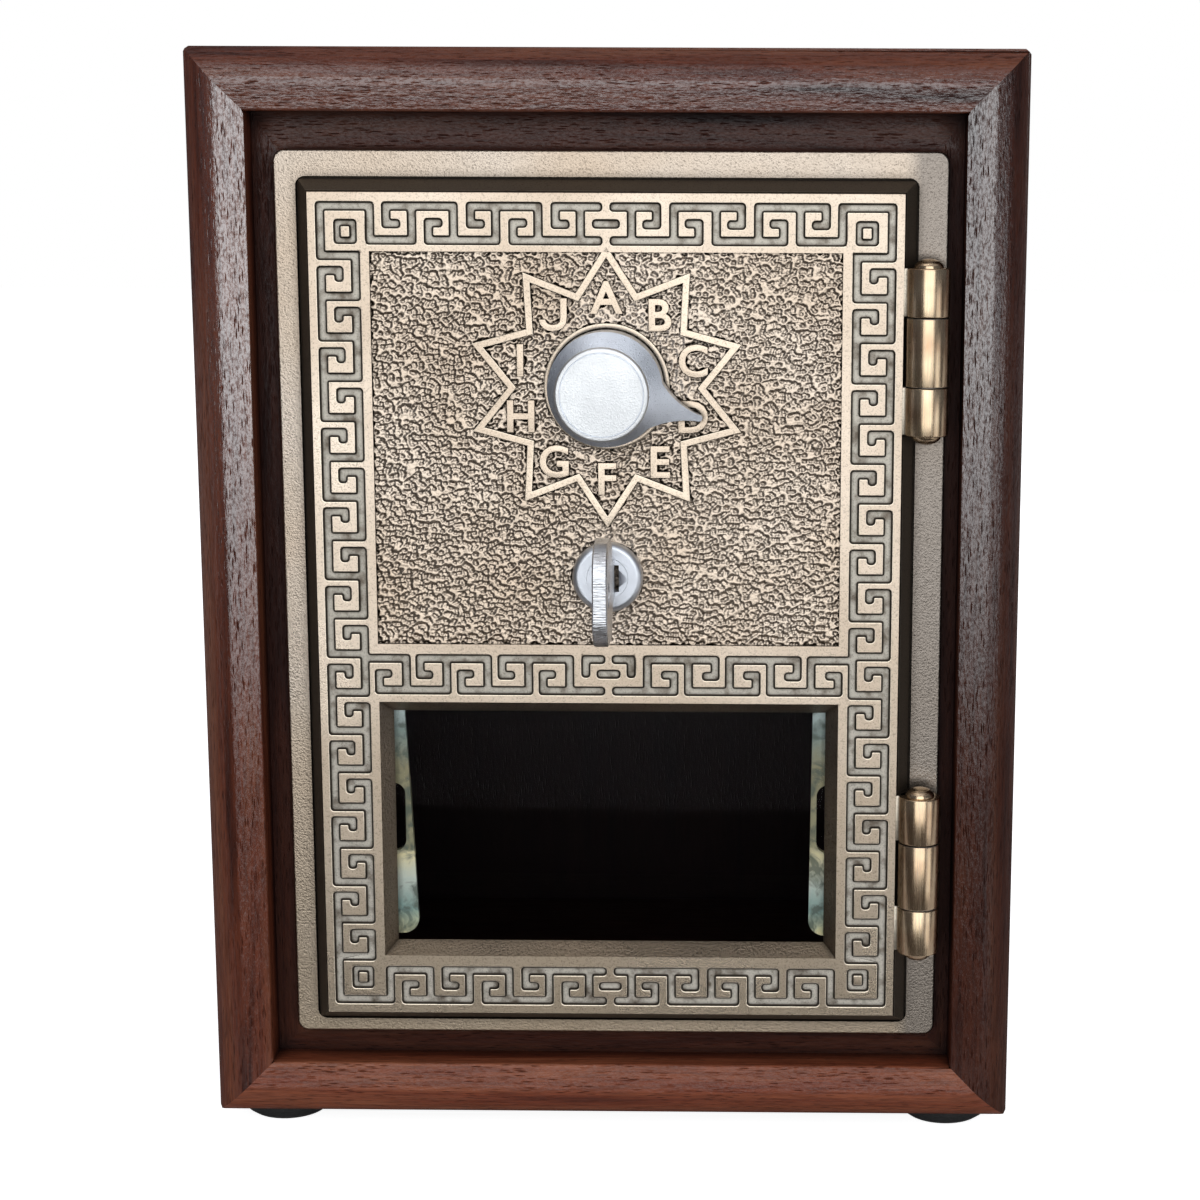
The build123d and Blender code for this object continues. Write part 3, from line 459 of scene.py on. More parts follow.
def walnut(name, grainAxis, shift, gloss=2.9, depth=1.0, relief=1.0):
    # straight-grained walnut with dark pores, under an old satin finish, with painted shade darkening its
    # corners and recesses
    material, tree, shader = newMaterial(name, {"Specular IOR Level": 0.1, "Coat Roughness": 0.20,
                                                "Coat IOR": gloss, "Coat Tint": wood["coat"]})
    dark, mid, light = (tuple(channel * depth for channel in wood[key])
                        for key in ("dark", "mid", "light"))

    def drawn(stretch, offset=shift):
        # coordinates drawn out along the grain
        return placedCoords(tree, scale={"X": (stretch, 1, 1), "Z": (1, 1, stretch)}[grainAxis],
                            shift=(offset, offset * 1.7, offset * 0.6))

    figure = noise(tree, drawn(0.06), 210, 5, 0.6, 0.35)
    fibre = noise(tree, drawn(0.06), 1900, 3, 0.7)
    tone = ramp(tree, figure, [(0.30, dark), (0.46, mid), (0.72, light)])
    tone = rampBlend(tree, fibre, [(0.35, 0.5), (0.6, 0.0)], tone, dark)
    pore = node(tree, "TexVoronoi", {"Vector": drawn(0.11), "Scale": 2500.0}).outputs["Distance"]
    pit = ramp(tree, pore, [(0.15, 1.0), (0.32, 0.0)])
    spread = ramp(tree, noise(tree, drawn(0.15), 420, 2), [(0.36, 0.1), (0.56, 1.0)])
    pit = arithmetic(tree, "MULTIPLY", pit, spread)
    tone = blendColors(tree, arithmetic(tree, "MULTIPLY", pit, 0.75), tone, dark)
    # painted shade: darker in corners and recesses, where shade falls
    paintedCornerShade = ramp(tree, crevice(tree, 6.0), [(0.28, 0.95), (0.72, 0.0)])
    tone = blendColors(tree, paintedCornerShade, tone, wood["paintedCornerShade"])
    place = node(tree, "SeparateXYZ", {"Vector": drawn(1, 0)}).outputs

    def within(value, middle, half):
        # 1 nearer than half to the middle, falling to 0 over the margin
        away = arithmetic(tree, "ABSOLUTE", arithmetic(tree, "SUBTRACT", value, middle))
        return fade(tree, away, half + hollow["margin"], half)

    inside = within(place["Y"], (frontY + backY) / 2 + hollow["shift"],
                    (backY - frontY) / 2 - hollow["inset"])
    for value, middle, half in ((place["X"], 0.0, hollow["halfWidth"]),
                                (place["Z"], hollow["middle"], hollow["halfHeight"])):
        inside = arithmetic(tree, "MULTIPLY", inside, within(value, middle, half))
    # painted shade: the inside of the case turns nearly black
    tone = blendColors(tree, arithmetic(tree, "MULTIPLY", inside, 0.93), tone, hollow["tone"])
    tree.links.new(tone, shader.inputs["Base Color"])
    tree.links.new(ramp(tree, fibre, [(0.3, 0.62), (0.7, 0.45)]), shader.inputs["Roughness"])
    polish = fade(tree, place["Z"], wood["dimZ"], wood["brightZ"], wood["dim"])
    outward = fade(tree, place["Y"], frontY + wood["frontDepth"] * mm,
                   frontY + wood["sideDepth"] * mm, 1.0, wood["side"])
    flecks = ramp(tree, noise(tree, drawn(0.42), 2900, 4, 0.75), [(0.40, 0.26), (0.56, 1.0)])
    flecks = arithmetic(tree, "MULTIPLY", flecks, polish)
    flecks = arithmetic(tree, "MULTIPLY", flecks, outward)
    matt = arithmetic(tree, "MAXIMUM", paintedCornerShade, pit)
    flecks = arithmetic(tree, "SUBTRACT", flecks, matt, clamp=True)
    tree.links.new(flecks, shader.inputs["Coat Weight"])
    bump(tree, shader, noise(tree, drawn(0.3), 1500, 3, 0.6), 0.13 * relief)
    bump(tree, shader, arithmetic(tree, "SUBTRACT", 1.0, pit), 0.08 * relief)
    tree.links.new(shader.inputs["Normal"].links[0].from_socket, shader.inputs["Coat Normal"])
    return material


def satinMetal(name, tone, roughness, grain=0.012, size=0.12, stretch=(1, 1, 1)):
    # brushed or plated metal; grain is its depth and size its width, in millimetres
    material, tree, shader = newMaterial(name, {"Metallic": 1.0})
    fine = noise(tree, placedCoords(tree, scale=stretch), 1 / (size * mm), 2)
    broad = noise(tree, placedCoords(tree), 90, 3)
    dim = tuple(channel * 0.82 for channel in tone)
    tone = rampBlend(tree, broad, [(0.35, 0.0), (0.65, 1.0)], dim, tone)
    tree.links.new(tone, shader.inputs["Base Color"])
    rough = ramp(tree, fine, [(0.3, roughness + 0.06), (0.7, roughness - 0.05)])
    tree.links.new(rough, shader.inputs["Roughness"])
    bump(tree, shader, fine, grain)
    return material


glass = {"Base Color": (0.92, 0.95, 0.94), "Roughness": 0.0, "Transmission Weight": 1.0, "IOR": 1.17,
         "Alpha": 0.14}


def blackRubber(name):
    material, tree, shader = newMaterial(name, {"Roughness": 0.55})
    fine = noise(tree, placedCoords(tree), 2500, 2)
    tree.links.new(ramp(tree, fine, [(0.3, 0.012), (0.7, 0.03)]), shader.inputs["Base Color"])
    bump(tree, shader, fine, 0.02)
    return material


# metres of height over which the bands follow each other, from the clips' lower end up
verdigris = {"low": 0.040, "high": 0.090, "waver": 0.006, "spots": (0.10, 0.13, 0.10),
             "bands": [(0.05, (0.90, 0.82, 0.46)), (0.16, (0.30, 0.46, 0.42)), (0.27, (0.72, 0.78, 0.68)),
                       (0.37, (1.0, 0.90, 0.56)), (0.41, (0.40, 0.37, 0.22)), (0.72, (0.38, 0.34, 0.20)),
                       (0.86, (0.30, 0.38, 0.35)), (0.97, (0.72, 0.82, 0.80))]}


def tarnishedBrass(name):
    # window clips: bare metal, olive tarnish and a green-blue bloom in bands
    material, tree, shader = newMaterial(name, {})
    coords = placedCoords(tree)
    blotch = noise(tree, coords, 260, 4, 0.6, 0.8)
    fine = noise(tree, coords, 2200, 3)
    height = along(tree, coords, "Z")
    level = arithmetic(tree, "ADD", height, arithmetic(tree, "MULTIPLY", blotch, verdigris["waver"]))
    bands = ramp(tree, fade(tree, level, verdigris["low"], verdigris["high"]), verdigris["bands"])
    tone = rampBlend(tree, blotch, [(0.45, 0.0), (0.60, 0.85)], bands, verdigris["spots"])
    tree.links.new(tone, shader.inputs["Base Color"])
    tree.links.new(ramp(tree, blotch, [(0.35, 0.4), (0.6, 0.1)]), shader.inputs["Metallic"])
    tree.links.new(ramp(tree, fine, [(0.3, 0.6), (0.7, 0.35)]), shader.inputs["Roughness"])
    bump(tree, shader, fine, 0.04)
    return material


print("finishes")
doorBrass = castBrass("antiqueBrassDoor", layered=True)
groundBrass = pebbledBrass("antiqueBrassGround")
bevelBrass = castBrass("windowBevelBrass", grainSize=0.45, grainDepth=0.22, reach=1.6, face="bevel")
wornBrass = castBrass("wornBrassStar", reach=1.0, face="worn", layered=True)
# the frame gets painted shade on its right side
frameBrass = castBrass("grainyBrassFrame", grainSize=0.36, grainDepth=0.10, reach=2.6, face="frame",
                       rightShadeAmount=0.75)
pinBrass = polishedBrass("polishedHingeBrass")
sheetBrass = satinMetal("dullSheetBrass", (0.52, 0.38, 0.20), 0.42)
screwBrass = satinMetal("screwBrass", (0.60, 0.44, 0.22), 0.32)
knobChrome = satinMetal("satinChromeKnob", (0.84, 0.88, 0.96), 0.32, 0.07, 0.22)
knobFinish = satinMetal("satinChromeFace", (0.86, 0.87, 0.88), 0.42, 0.05, 0.30)
lockNickel = satinMetal("satinNickelLock", (0.84, 0.87, 0.93), 0.36, 0.03, 0.14)
keyNickel = satinMetal("nickelKey", (0.80, 0.81, 0.84), 0.30, 0.14, 0.26, (0.12, 1, 1))
plainSteel = satinMetal("plainSteel", (0.42, 0.43, 0.45), 0.40)
clipBrass = tarnishedBrass("verdigrisClips")
paneGlass = newMaterial("windowPane", glass)[0]
footRubber = blackRubber("footRubber")
uprightWalnut = walnut("walnutUpright", "Z", 0.13)
# painted shade: the right board is a darker copy of the walnut
rightWalnut = walnut("walnutRightShaded", "Z", 0.29, 2.5, 0.42)
levelWalnut = walnut("walnutLevel", "X", 0.41, 2.0, 0.95)
bottomWalnut = walnut("walnutBottom", "X", 0.63, 2.3, 1.45)
innerUpright = walnut("innerWalnutUpright", "Z", 0.77, 2.1, 0.45)
innerLevel = walnut("innerWalnutLevel", "X", 0.93, 1.8, 0.45)
backWalnut = walnut("backBoardWalnut", "Z", 0.55, 1.3, 0.5, 0.4)

keptFinishes = {
    uprightWalnut: "case_left", rightWalnut: "case_right", levelWalnut: "case_top",
    bottomWalnut: "case_bottom", innerUpright: "inner_frame_left inner_frame_right",
    innerLevel: "inner_frame_top inner_frame_bottom", backWalnut: "back_panel",
    footRubber: "foot_front_left foot_front_right foot_back_left foot_back_right",
    frameBrass: "door_frame", doorBrass: "door_leaf", pinBrass: "hinge_pin_upper hinge_pin_lower",
    paneGlass: "window_glass", clipBrass: "glass_clip_left glass_clip_right",
    screwBrass: "back_screws frame_screws clip_screws lock_screws",
    lockNickel: "lock_cylinder lock_plug",
    plainSteel: "lever_stud lever_spring cylinder_nut dial_spindle spindle_nut lock_cam",
    sheetBrass: "lock_case lock_cover drive_wheel middle_wheel rear_wheel wheel_spacers latch_bolt "
                "fence_lever",
    knobChrome: "dial_knob", keyNickel: "key"}
for finish, names in keptFinishes.items():
    for name in names.split():
        wear(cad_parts[name], finish)


# millimetres: across from the middle, up from the floor and back from the moulding's front
door = {"halfWidth": 54.3, "low": 25.8, "high": 181.8, "front": 0.8,
        "rimFront": 5.0, "rimBack": 6.5, "halfRim": 56.7, "rimHalfHeight": 80.4, "rimWall": 3.0,
        "plateBack": 3.8, "cornerCut": 1.1,
        "halfField": 43.2, "fieldLow": 98.2, "fieldHigh": 171.2, "fieldFace": 1.6, "fieldFloor": 2.3,
        "windowLow": 37.2, "windowHigh": 87.1, "windowBevel": 2.3,
        "dialZ": 146.7, "lockZ": 111.2, "hingeX": 58.8, "hingeDepth": 0.75, "knuckleRadius": 3.95,
        "hingeHeights": (153.3, 54.2), "middleKnuckle": 12.5, "outerKnuckle": 8.9, "knuckleGap": 0.15,
        "knuckleRoom": 0.5, "pinHead": 2.75, "postX": 47.8, "postHeights": (47.5, 80.5),
        "postRadius": 3.0, "postFront": 3.3, "postBack": 6.0}

# the border's key pattern, left half: each groove starts as a hook beside its own line, runs along
# that line, then crosses to the other line, where the next hook's groove lies
grooves = {"width": 1.62, "depth": 0.62, "outerCorner": 0.66, "ribbonCorner": 0.22, "lip": 0.2,
           "floorRound": 0.36, "outerX": -52.05, "innerX": -45.75, "topOuter": 179.3, "topInner": 173.2,
           "lowOuter": 28.3, "lowInner": 34.2, "midTop": 95.4, "midLow": 89.35, "overshoot": 0.1,
           "pastMiddle": 0.4, "sameLine": 0.03, "nearby": 0.031, "topSplit": -2.28, "midSplit": -5.06}
topBand = {"first": -40.0, "pitch": 7.7, "hooks": 5, "reach": 12.25, "forward": 1.75, "end": -1.5,
           "slot": 1.68, "before": 3.0, "back": 4.65}
lowBand = {"first": -39.3, "pitch": 7.68, "hooks": 5, "reach": 12.2, "forward": 1.75, "end": -1.5,
           "slot": 1.35, "before": 3.0, "back": 4.65}
midBand = {"first": -43.1, "pitch": 7.7, "hooks": 5, "reach": 12.7, "forward": 1.6, "end": -1.5,
           "slot": 1.4, "slotLine": 92.6, "turn": -38.0, "lastStart": -1.45, "lastTurn": -4.25,
           "lastStop": 92.75}
sideBand = {"first": 167.63, "pitch": 7.415, "hooks": 17, "reach": 12.1, "forward": 1.2, "end": 36.9,
            "cornerRise": 2.73, "tail": -49.0, "gap": 4}
# the small upright ring in each corner, with its finer line and the room around it
corner = {"x": -47.5, "heights": (174.7, 32.8), "halfWidth": 1.45, "halfHeight": 1.6, "halfLine": 0.62,
          "room": 3.9}


def meander(band, own, other):
    # runs of a band as (along, across) points; own is the line of its first hook
    runs = []
    for index in range(band["hooks"]):
        start = band["first"] + index * band["pitch"]
        middle = (own + other) / 2 + grooves["overshoot"] * (1 if other > own else -1)
        run = [(start + band["forward"], middle), (start, middle), (start, own)]
        if start + band["reach"] < band["end"]:
            run += [(start + band["reach"], own), (start + band["reach"], other)]
        else:
            run += [(band["end"], own)]
        runs.append(run)
        own, other = other, own
    return runs


def borderRuns():
    g = grooves
    runs = []
    for band, outer, inner in ((topBand, g["topOuter"], g["topInner"]),
                               (lowBand, g["lowOuter"], g["lowInner"])):
        runs += meander(band, outer, inner)
        crossing = band["first"] - band["before"]          # full crossing at the corner ring
        back = band["first"] + band["back"]
        lastCrossing = band["first"] + (band["hooks"] - 2) * band["pitch"] + band["reach"]
        between = (outer + inner) / 2
        runs += [[(crossing, outer), (crossing, inner), (back, inner), (back, outer)],
                 [(lastCrossing, inner), (band["end"], inner)],
                 [(-band["slot"], between), (g["pastMiddle"], between)],
                 [(g["outerX"], outer), (crossing, outer)]]
    m = midBand
    runs += meander(m, g["midLow"], g["midTop"])
    runs += [[(g["innerX"], g["midTop"]), (m["turn"], g["midTop"]), (m["turn"], g["midLow"])],
             [(m["lastStart"], g["midTop"]), (m["lastTurn"], g["midTop"]), (m["lastTurn"], m["lastStop"])],
             [(-m["slot"], m["slotLine"]), (g["pastMiddle"], m["slotLine"])]]
    s = sideBand
    for index in range(s["hooks"]):
        start = s["first"] - index * s["pitch"]
        own, other = (g["outerX"], g["innerX"]) if index % 2 == 0 else (g["innerX"], g["outerX"])
        middle = (own + other) / 2 + (g["overshoot"] if other > own else -g["overshoot"])
        finish = start - s["reach"]
        runs.append([(middle, start - s["forward"]), (middle, start), (own, start), (own, finish),
                     (other, finish)])
    cornerLow = s["first"] + s["cornerRise"]
    lastHook = s["first"] - s["hooks"] * s["pitch"]
    runs += [[(g["outerX"], g["topOuter"]), (g["outerX"], cornerLow), (g["innerX"], cornerLow),
              (g["innerX"], cornerLow - s["pitch"]), (g["outerX"], cornerLow - s["pitch"])],
             [(s["tail"], lastHook - s["forward"]), (s["tail"], lastHook), (g["innerX"], lastHook),
              (g["innerX"], s["end"]), (g["outerX"], s["end"])],
             [(g["outerX"], s["end"] + s["gap"]), (g["outerX"], g["lowOuter"])]]
    left, right = corner["x"] - corner["halfWidth"], corner["x"] + corner["halfWidth"]
    for z in corner["heights"]:
        low, high = z - corner["halfHeight"], z + corner["halfHeight"]
        runs.append([(left, low), (left, high), (right, high), (right, low), (left, low)])
    return runs


def grooveBoxes():
    # each straight run as (left, right, low, high)
    boxes = []
    for run in borderRuns():
        half = corner["halfLine"] if run[0] == run[-1] else grooves["width"] / 2
        for (x1, z1), (x2, z2) in zip(run, run[1:]):
            boxes.append((round(min(x1, x2) - half, 2), round(min(0, max(x1, x2) + half), 2),
                          round(min(z1, z2) - half, 2), round(max(z1, z2) + half, 2)))
    return boxes


def settleLines(values, fixed):
    # cut lines in order; one that lies right beside the line before it is left out
    lines = []
    for value in sorted(set(values) | set(fixed)):
        if lines and value - lines[-1] < grooves["sameLine"]:
            if value in fixed:
                lines[-1] = value
            continue
        lines.append(value)
    return lines


def isOpen(x, z):
    # in the window or in the sunk field
    inWindow = door["windowLow"] < z < door["windowHigh"]
    return x > -door["halfField"] and (inWindow or door["fieldLow"] < z < door["fieldHigh"])


def carveHalfSheet():
    # the left half of the front as a thin sheet, cut along the grooves' edges, its grooves sunk
    g = grooves
    boxes = grooveBoxes()
    columns = settleLines([b[0] for b in boxes] + [b[1] for b in boxes],
                          (-door["halfWidth"], corner["x"], -door["halfField"], 0.0))
    rows = settleLines([b[2] for b in boxes] + [b[3] for b in boxes],
                       (door["low"], door["windowLow"], door["windowHigh"], g["midTop"], door["fieldLow"],
                        door["fieldHigh"], g["topOuter"], door["high"]))
    wide, tall = len(columns) - 1, len(rows) - 1
    clearSelection()
    bpy.ops.mesh.primitive_grid_add(x_subdivisions=wide, y_subdivisions=tall, size=1)
    sheet = settle(bpy.context.object, "doorHalf")
    for index, vertex in enumerate(sheet.data.vertices):
        vertex.co = at(columns[index % len(columns)], door["front"], rows[index // len(columns)])
    near = g["nearby"]
    carved = set()
    for left, right, low, high in boxes:
        across = [i for i in range(wide) if columns[i] > left - near and columns[i + 1] < right + near]
        upward = [j for j in range(tall) if rows[j] > low - near and rows[j + 1] < high + near]
        carved.update((i, j) for i in across for j in upward)
    openings = {(i, j) for i in range(wide) for j in range(tall)
                if isOpen((columns[i] + columns[i + 1]) / 2, (rows[j] + rows[j + 1]) / 2)}
    sunk = {j * wide + i for i, j in carved - openings}
    selectWhere(sheet, lambda face: face.index in sunk)
    bpy.ops.mesh.extrude_region_move(TRANSFORM_OT_translate={"value": (0, g["depth"] * mm, 0)})
    finishEdit()
    floorY = at(0, door["front"] + g["depth"], 0).y
    frontLine = at(0, door["front"], 0).y
    selectWhere(sheet, lambda face: face.center.x > -tiny
                or isOpen(face.center.x / mm, face.center.z / mm))
    bpy.ops.mesh.delete(type="FACE")
    finishEdit()

    def zone(x, z):
        # a face can't have a hole, so what surrounds a groove on all sides is kept in two halves
        nearRing = any(abs(z - height) < corner["room"] for height in corner["heights"])
        if nearRing and abs(x - corner["x"]) < corner["room"]:
            return 1 if x < corner["x"] else 2
        if x > g["topSplit"] and z > g["topOuter"]:
            return 3
        return 4 if x > g["midSplit"] and g["midTop"] < z < door["fieldLow"] else 0

    for face in sheet.data.polygons:
        face.material_index = zone(face.center.x / mm, face.center.z / mm)
    editAll(sheet)
    bpy.ops.mesh.dissolve_limited(angle_limit=radians(2), use_dissolve_boundaries=False,
                                  delimit={"MATERIAL"})
    finishEdit()
    for face in sheet.data.polygons:
        face.material_index = 0

    def carvedAt(x, z):
        return any(b[0] - near < x < b[1] + near and b[2] - near < z < b[3] + near for b in boxes)

    def cornerKind(edge):
        # groove quarters around an upright wall edge: 1 is an outer corner, 3 a ribbon corner
        first, second = (sheet.data.vertices[i].co for i in edge.vertices)
        if abs(first.x - second.x) > tiny or abs(first.z - second.z) > tiny:
            return 0
        x, z = first.x / mm, first.z / mm
        if x > -slack:
            return 0
        return sum(carvedAt(x + dx, z + dz) for dx in (-slack, slack) for dz in (-slack, slack))

    for kind, radius, steps in ((1, "outerCorner", 4), (3, "ribbonCorner", 2)):
        selectWhere(sheet, lambda edge: cornerKind(edge) == kind, "EDGE")
        bpy.ops.mesh.bevel(offset=g[radius] * mm, segments=steps, affect="EDGES", clamp_overlap=False)
        finishEdit()
    for level, offset in ((floorY, "floorRound"), (frontLine, "lip")):
        if level == floorY:
            selectWhere(sheet, lambda face: abs(face.center.y - floorY) < tiny)
        else:
            selectWhere(sheet, lambda face: face.center.y > frontLine + tiny)
        bpy.ops.mesh.region_to_loop()
        finishEdit()
        middleLine = [v.index for v in sheet.data.vertices if v.co.x > -tiny]
        for edge in sheet.data.edges:
            if edge.vertices[0] in middleLine and edge.vertices[1] in middleLine:
                edge.select = False
        bpy.ops.object.mode_set(mode="EDIT")
        bpy.ops.mesh.select_mode(type="EDGE")
        bpy.ops.mesh.bevel(offset=g[offset] * mm, segments=2, affect="EDGES", clamp_overlap=False)
        finishEdit()
    return sheet


def selectLoop(obj, test):
    # open edges whose ends both pass the test
    pick(obj)
    bpy.ops.object.mode_set(mode="EDIT")
    bpy.ops.mesh.select_mode(type="EDGE")
    bpy.ops.mesh.select_all(action="DESELECT")
    bpy.ops.mesh.select_non_manifold(extend=False, use_wire=False, use_boundary=True,
                                     use_multi_face=False, use_non_contiguous=False, use_verts=False)
    bpy.ops.object.mode_set(mode="OBJECT")
    points = obj.data.vertices
    for edge in obj.data.edges:
        edge.select = edge.select and all(test(points[i].co / mm) for i in edge.vertices)
    bpy.ops.object.mode_set(mode="EDIT")


def drawEdges(depth=0.0, scale=(1, 1, 1), center=None):
    # pulls the selected edges to a new place, leaving faces behind
    bpy.ops.mesh.extrude_edges_move(TRANSFORM_OT_translate={"value": (0, depth * mm, 0)})
    if scale != (1, 1, 1):
        bpy.ops.transform.resize(value=scale, center_override=center)


def addBarrel(name, radius, height, z, sides=64, ends="NGON"):
    # an upright cylinder on the hinge's axis
    clearSelection()
    bpy.ops.mesh.primitive_cylinder_add(vertices=sides, radius=radius * mm, depth=height * mm,
                                        end_fill_type=ends,
                                        location=at(door["hingeX"], door["hingeDepth"], z))
    return settle(bpy.context.object, name)


def makeDoorFront():
    d = door
    left = carveHalfSheet()
    right = copyPiece(left, "doorRight", mirrored=True)
    plate = joinPieces([left, right], "doorFront")
    cleanMesh(plate, 4 * tiny)
    middleZ = (d["low"] + d["high"]) / 2
    halfHeight = (d["high"] - d["low"]) / 2
    center = at(0, 0, middleZ)

    # bevelled edge, rim and hollow back
    selectLoop(plate, lambda p: abs(p.x) > d["halfWidth"] - hair or p.z < d["low"] + hair
               or p.z > d["high"] - hair)
    drawEdges(d["rimFront"] - d["front"],
              (d["halfRim"] / d["halfWidth"], 1, d["rimHalfHeight"] / halfHeight), center)
    finishEdit()
    selectWhere(plate, lambda v: abs(v.co.x) / mm > d["halfRim"] - slack
                and abs(v.co.z / mm - middleZ) > d["rimHalfHeight"] - slack, "VERT")
    bpy.ops.mesh.bevel(offset=d["cornerCut"] * mm, segments=3, affect="VERTICES", clamp_overlap=False)
    finishEdit()
    selectLoop(plate, lambda p: abs(p.x) > d["halfWidth"] + 2 * slack
               or abs(p.z - middleZ) > halfHeight + 2 * slack)
    drawEdges(d["rimBack"] - d["rimFront"])
    drawEdges(0, ((d["halfRim"] - d["rimWall"]) / d["halfRim"], 1,
                  (d["rimHalfHeight"] - d["rimWall"]) / d["rimHalfHeight"]), center)
    drawEdges(d["plateBack"] - d["rimBack"])
    finishEdit()

    # bevelled window, then the back face between the two openings
    windowMiddle = (d["windowLow"] + d["windowHigh"]) / 2
    windowHalf = (d["windowHigh"] - d["windowLow"]) / 2
    selectLoop(plate, lambda p: abs(p.x) < d["halfField"] + hair
               and d["windowLow"] - hair < p.z < d["windowHigh"] + hair)
    drawEdges(d["plateBack"] - d["front"],
              ((d["halfField"] - d["windowBevel"]) / d["halfField"], 1,
               (windowHalf - d["windowBevel"]) / windowHalf), at(0, 0, windowMiddle))
    finishEdit()
    plateBackY = (at(0, d["plateBack"], 0) / mm).y
    selectLoop(plate, lambda p: abs(p.y - plateBackY) < hair)
    bpy.ops.mesh.fill(use_beauty=True)
    finishEdit()

    # sunk field
    selectLoop(plate, lambda p: abs(p.x) < d["halfField"] + hair
               and d["fieldLow"] - hair < p.z < d["fieldHigh"] + hair)
    drawEdges(d["fieldFloor"] - d["front"])
    bpy.ops.mesh.fill(use_beauty=True)
    finishEdit()
    cleanMesh(plate, 4 * tiny)

    # room for the frame's knuckles, and posts for the clips' screws
    for z in d["hingeHeights"]:
        height = 2 * (d["middleKnuckle"] / 2 + d["knuckleGap"])
        cutAway(plate, addBarrel("knuckleRoom", d["knuckleRadius"] + d["knuckleRoom"], height, z, 48))
    posts = [addRod("post", side * d["postX"], z, d["postRadius"], d["postFront"], d["postBack"], 32)
             for side in (-1, 1) for z in d["postHeights"]]
    plate = joinPieces([plate] + posts, "doorFront")
    finishPiece(plate, 26, doorBrass, weighted=True)
    plate.data.materials.append(bevelBrass)
    for face in plate.data.polygons:
        x, z = abs(face.center.x) / mm, face.center.z / mm
        if x < d["halfField"] - slack and d["windowLow"] + slack < z < d["windowHigh"] - slack:
            face.material_index = 1 if (face.center.y - frontY) / mm < d["plateBack"] - slack else 0
    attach(plate, "door")
    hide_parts("door_leaf")
    return plate


pebbles = {"across": 0.19, "upward": 0.185, "squeeze": 0.80, "cell": 0.76, "pitDepth": 0.35,
           "pitReach": 0.38, "waveSize": 1.0, "waveHeight": 0.14, "overlap": 0.15}


def makeField(name, low, high):
    # hammered ground: close, round pits over slow waves
    width, height = 2 * (door["halfField"] + pebbles["overlap"]), high - low
    clearSelection()
    bpy.ops.mesh.primitive_grid_add(x_subdivisions=int(width / pebbles["across"]),
                                    y_subdivisions=int(height / pebbles["upward"]), size=1,
                                    location=at(0, door["fieldFace"], (low + high) / 2),
                                    rotation=(pi / 2, 0, 0))
    field = bpy.context.object
    field.scale = (width * mm * pebbles["squeeze"], height * mm, 1)
    settle(field, name)
    cells = bpy.data.textures.new("pebbleCells", "VORONOI")
    cells.noise_scale = pebbles["cell"] * mm
    cells.distance_metric = "DISTANCE_SQUARED"
    cells.use_color_ramp = True          # flat between the pits
    cells.color_ramp.elements[0].color = (0, 0, 0, 1)
    cells.color_ramp.elements[1].color = (1, 1, 1, 1)
    cells.color_ramp.elements[1].position = pebbles["pitReach"]
    waves = bpy.data.textures.new("pebbleWaves", "CLOUDS")
    waves.noise_scale = pebbles["waveSize"] * mm
    waves.noise_depth = 1
    for texture, middle, height in ((cells, 0.75, pebbles["pitDepth"]),
                                    (waves, 0.5, pebbles["waveHeight"])):
        applyModifier(field, "DISPLACE", texture=texture, texture_coords="LOCAL", direction="NORMAL",
                      mid_level=middle, strength=height * mm)
    field.scale = (1 / pebbles["squeeze"], 1, 1)
    settle(field, name)
    finishPiece(field, 80, groundBrass)
    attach(field, "door")
    return field


star = {"reach": 26.1, "notch": 18.3, "points": 10, "line": 1.3, "edge": 0.16, "drop": 0.3,
        "ringRadius": 11.6, "ringLine": 0.9, "ringDepth": 1.5, "ringEdge": 0.2}


def makeStar():
    # a twenty-sided disc with every other corner pulled in, cut down to its rim and drawn forward
    d = door
    center = at(0, d["fieldFloor"], d["dialZ"] - star["drop"])
    clearSelection()
    bpy.ops.mesh.primitive_circle_add(vertices=2 * star["points"], radius=star["reach"] * mm,
                                      fill_type="NGON", location=center, rotation=(pi / 2, 0, 0))
    outline = settle(bpy.context.object, "starLine")
    selectWhere(outline, lambda v: v.index % 2 == 1, "VERT")
    ratio = star["notch"] / star["reach"]
    bpy.ops.transform.resize(value=(ratio, ratio, ratio), center_override=center)
    bpy.ops.mesh.select_mode(type="FACE")
    bpy.ops.mesh.select_all(action="SELECT")
    bpy.ops.mesh.inset(thickness=star["line"] * mm, use_even_offset=True)
    bpy.ops.mesh.delete(type="FACE")
    bpy.ops.mesh.select_all(action="SELECT")
    rise = (d["front"] - d["fieldFloor"]) * mm
    bpy.ops.mesh.extrude_region_move(TRANSFORM_OT_translate={"value": (0, rise, 0)})
    finishEdit()
    cleanMesh(outline)
    softenEdges(outline, star["edge"], 2, 60)
    ring = addRod("dialRing", 0, d["dialZ"], star["ringRadius"], d["front"],
                  d["front"] + star["ringDepth"], ends="NOTHING")
    cleanMesh(ring)
    applyModifier(ring, "SOLIDIFY", thickness=star["ringLine"] * mm, offset=-1)
    softenEdges(ring, star["ringEdge"], 2, 60)
    for piece in (outline, ring):
        finishPiece(piece, 35, wornBrass, weighted=True)
        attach(piece, "door")


letters = {"marks": "ABCDEFGHIJ", "radius": 16.7, "height": 5.9, "weight": 0.14, "raise": 1.05,
           "edge": 0.09, "capShare": 0.729, "drop": 0.4, "stemRight": 0.3, "stemLow": 0.9}


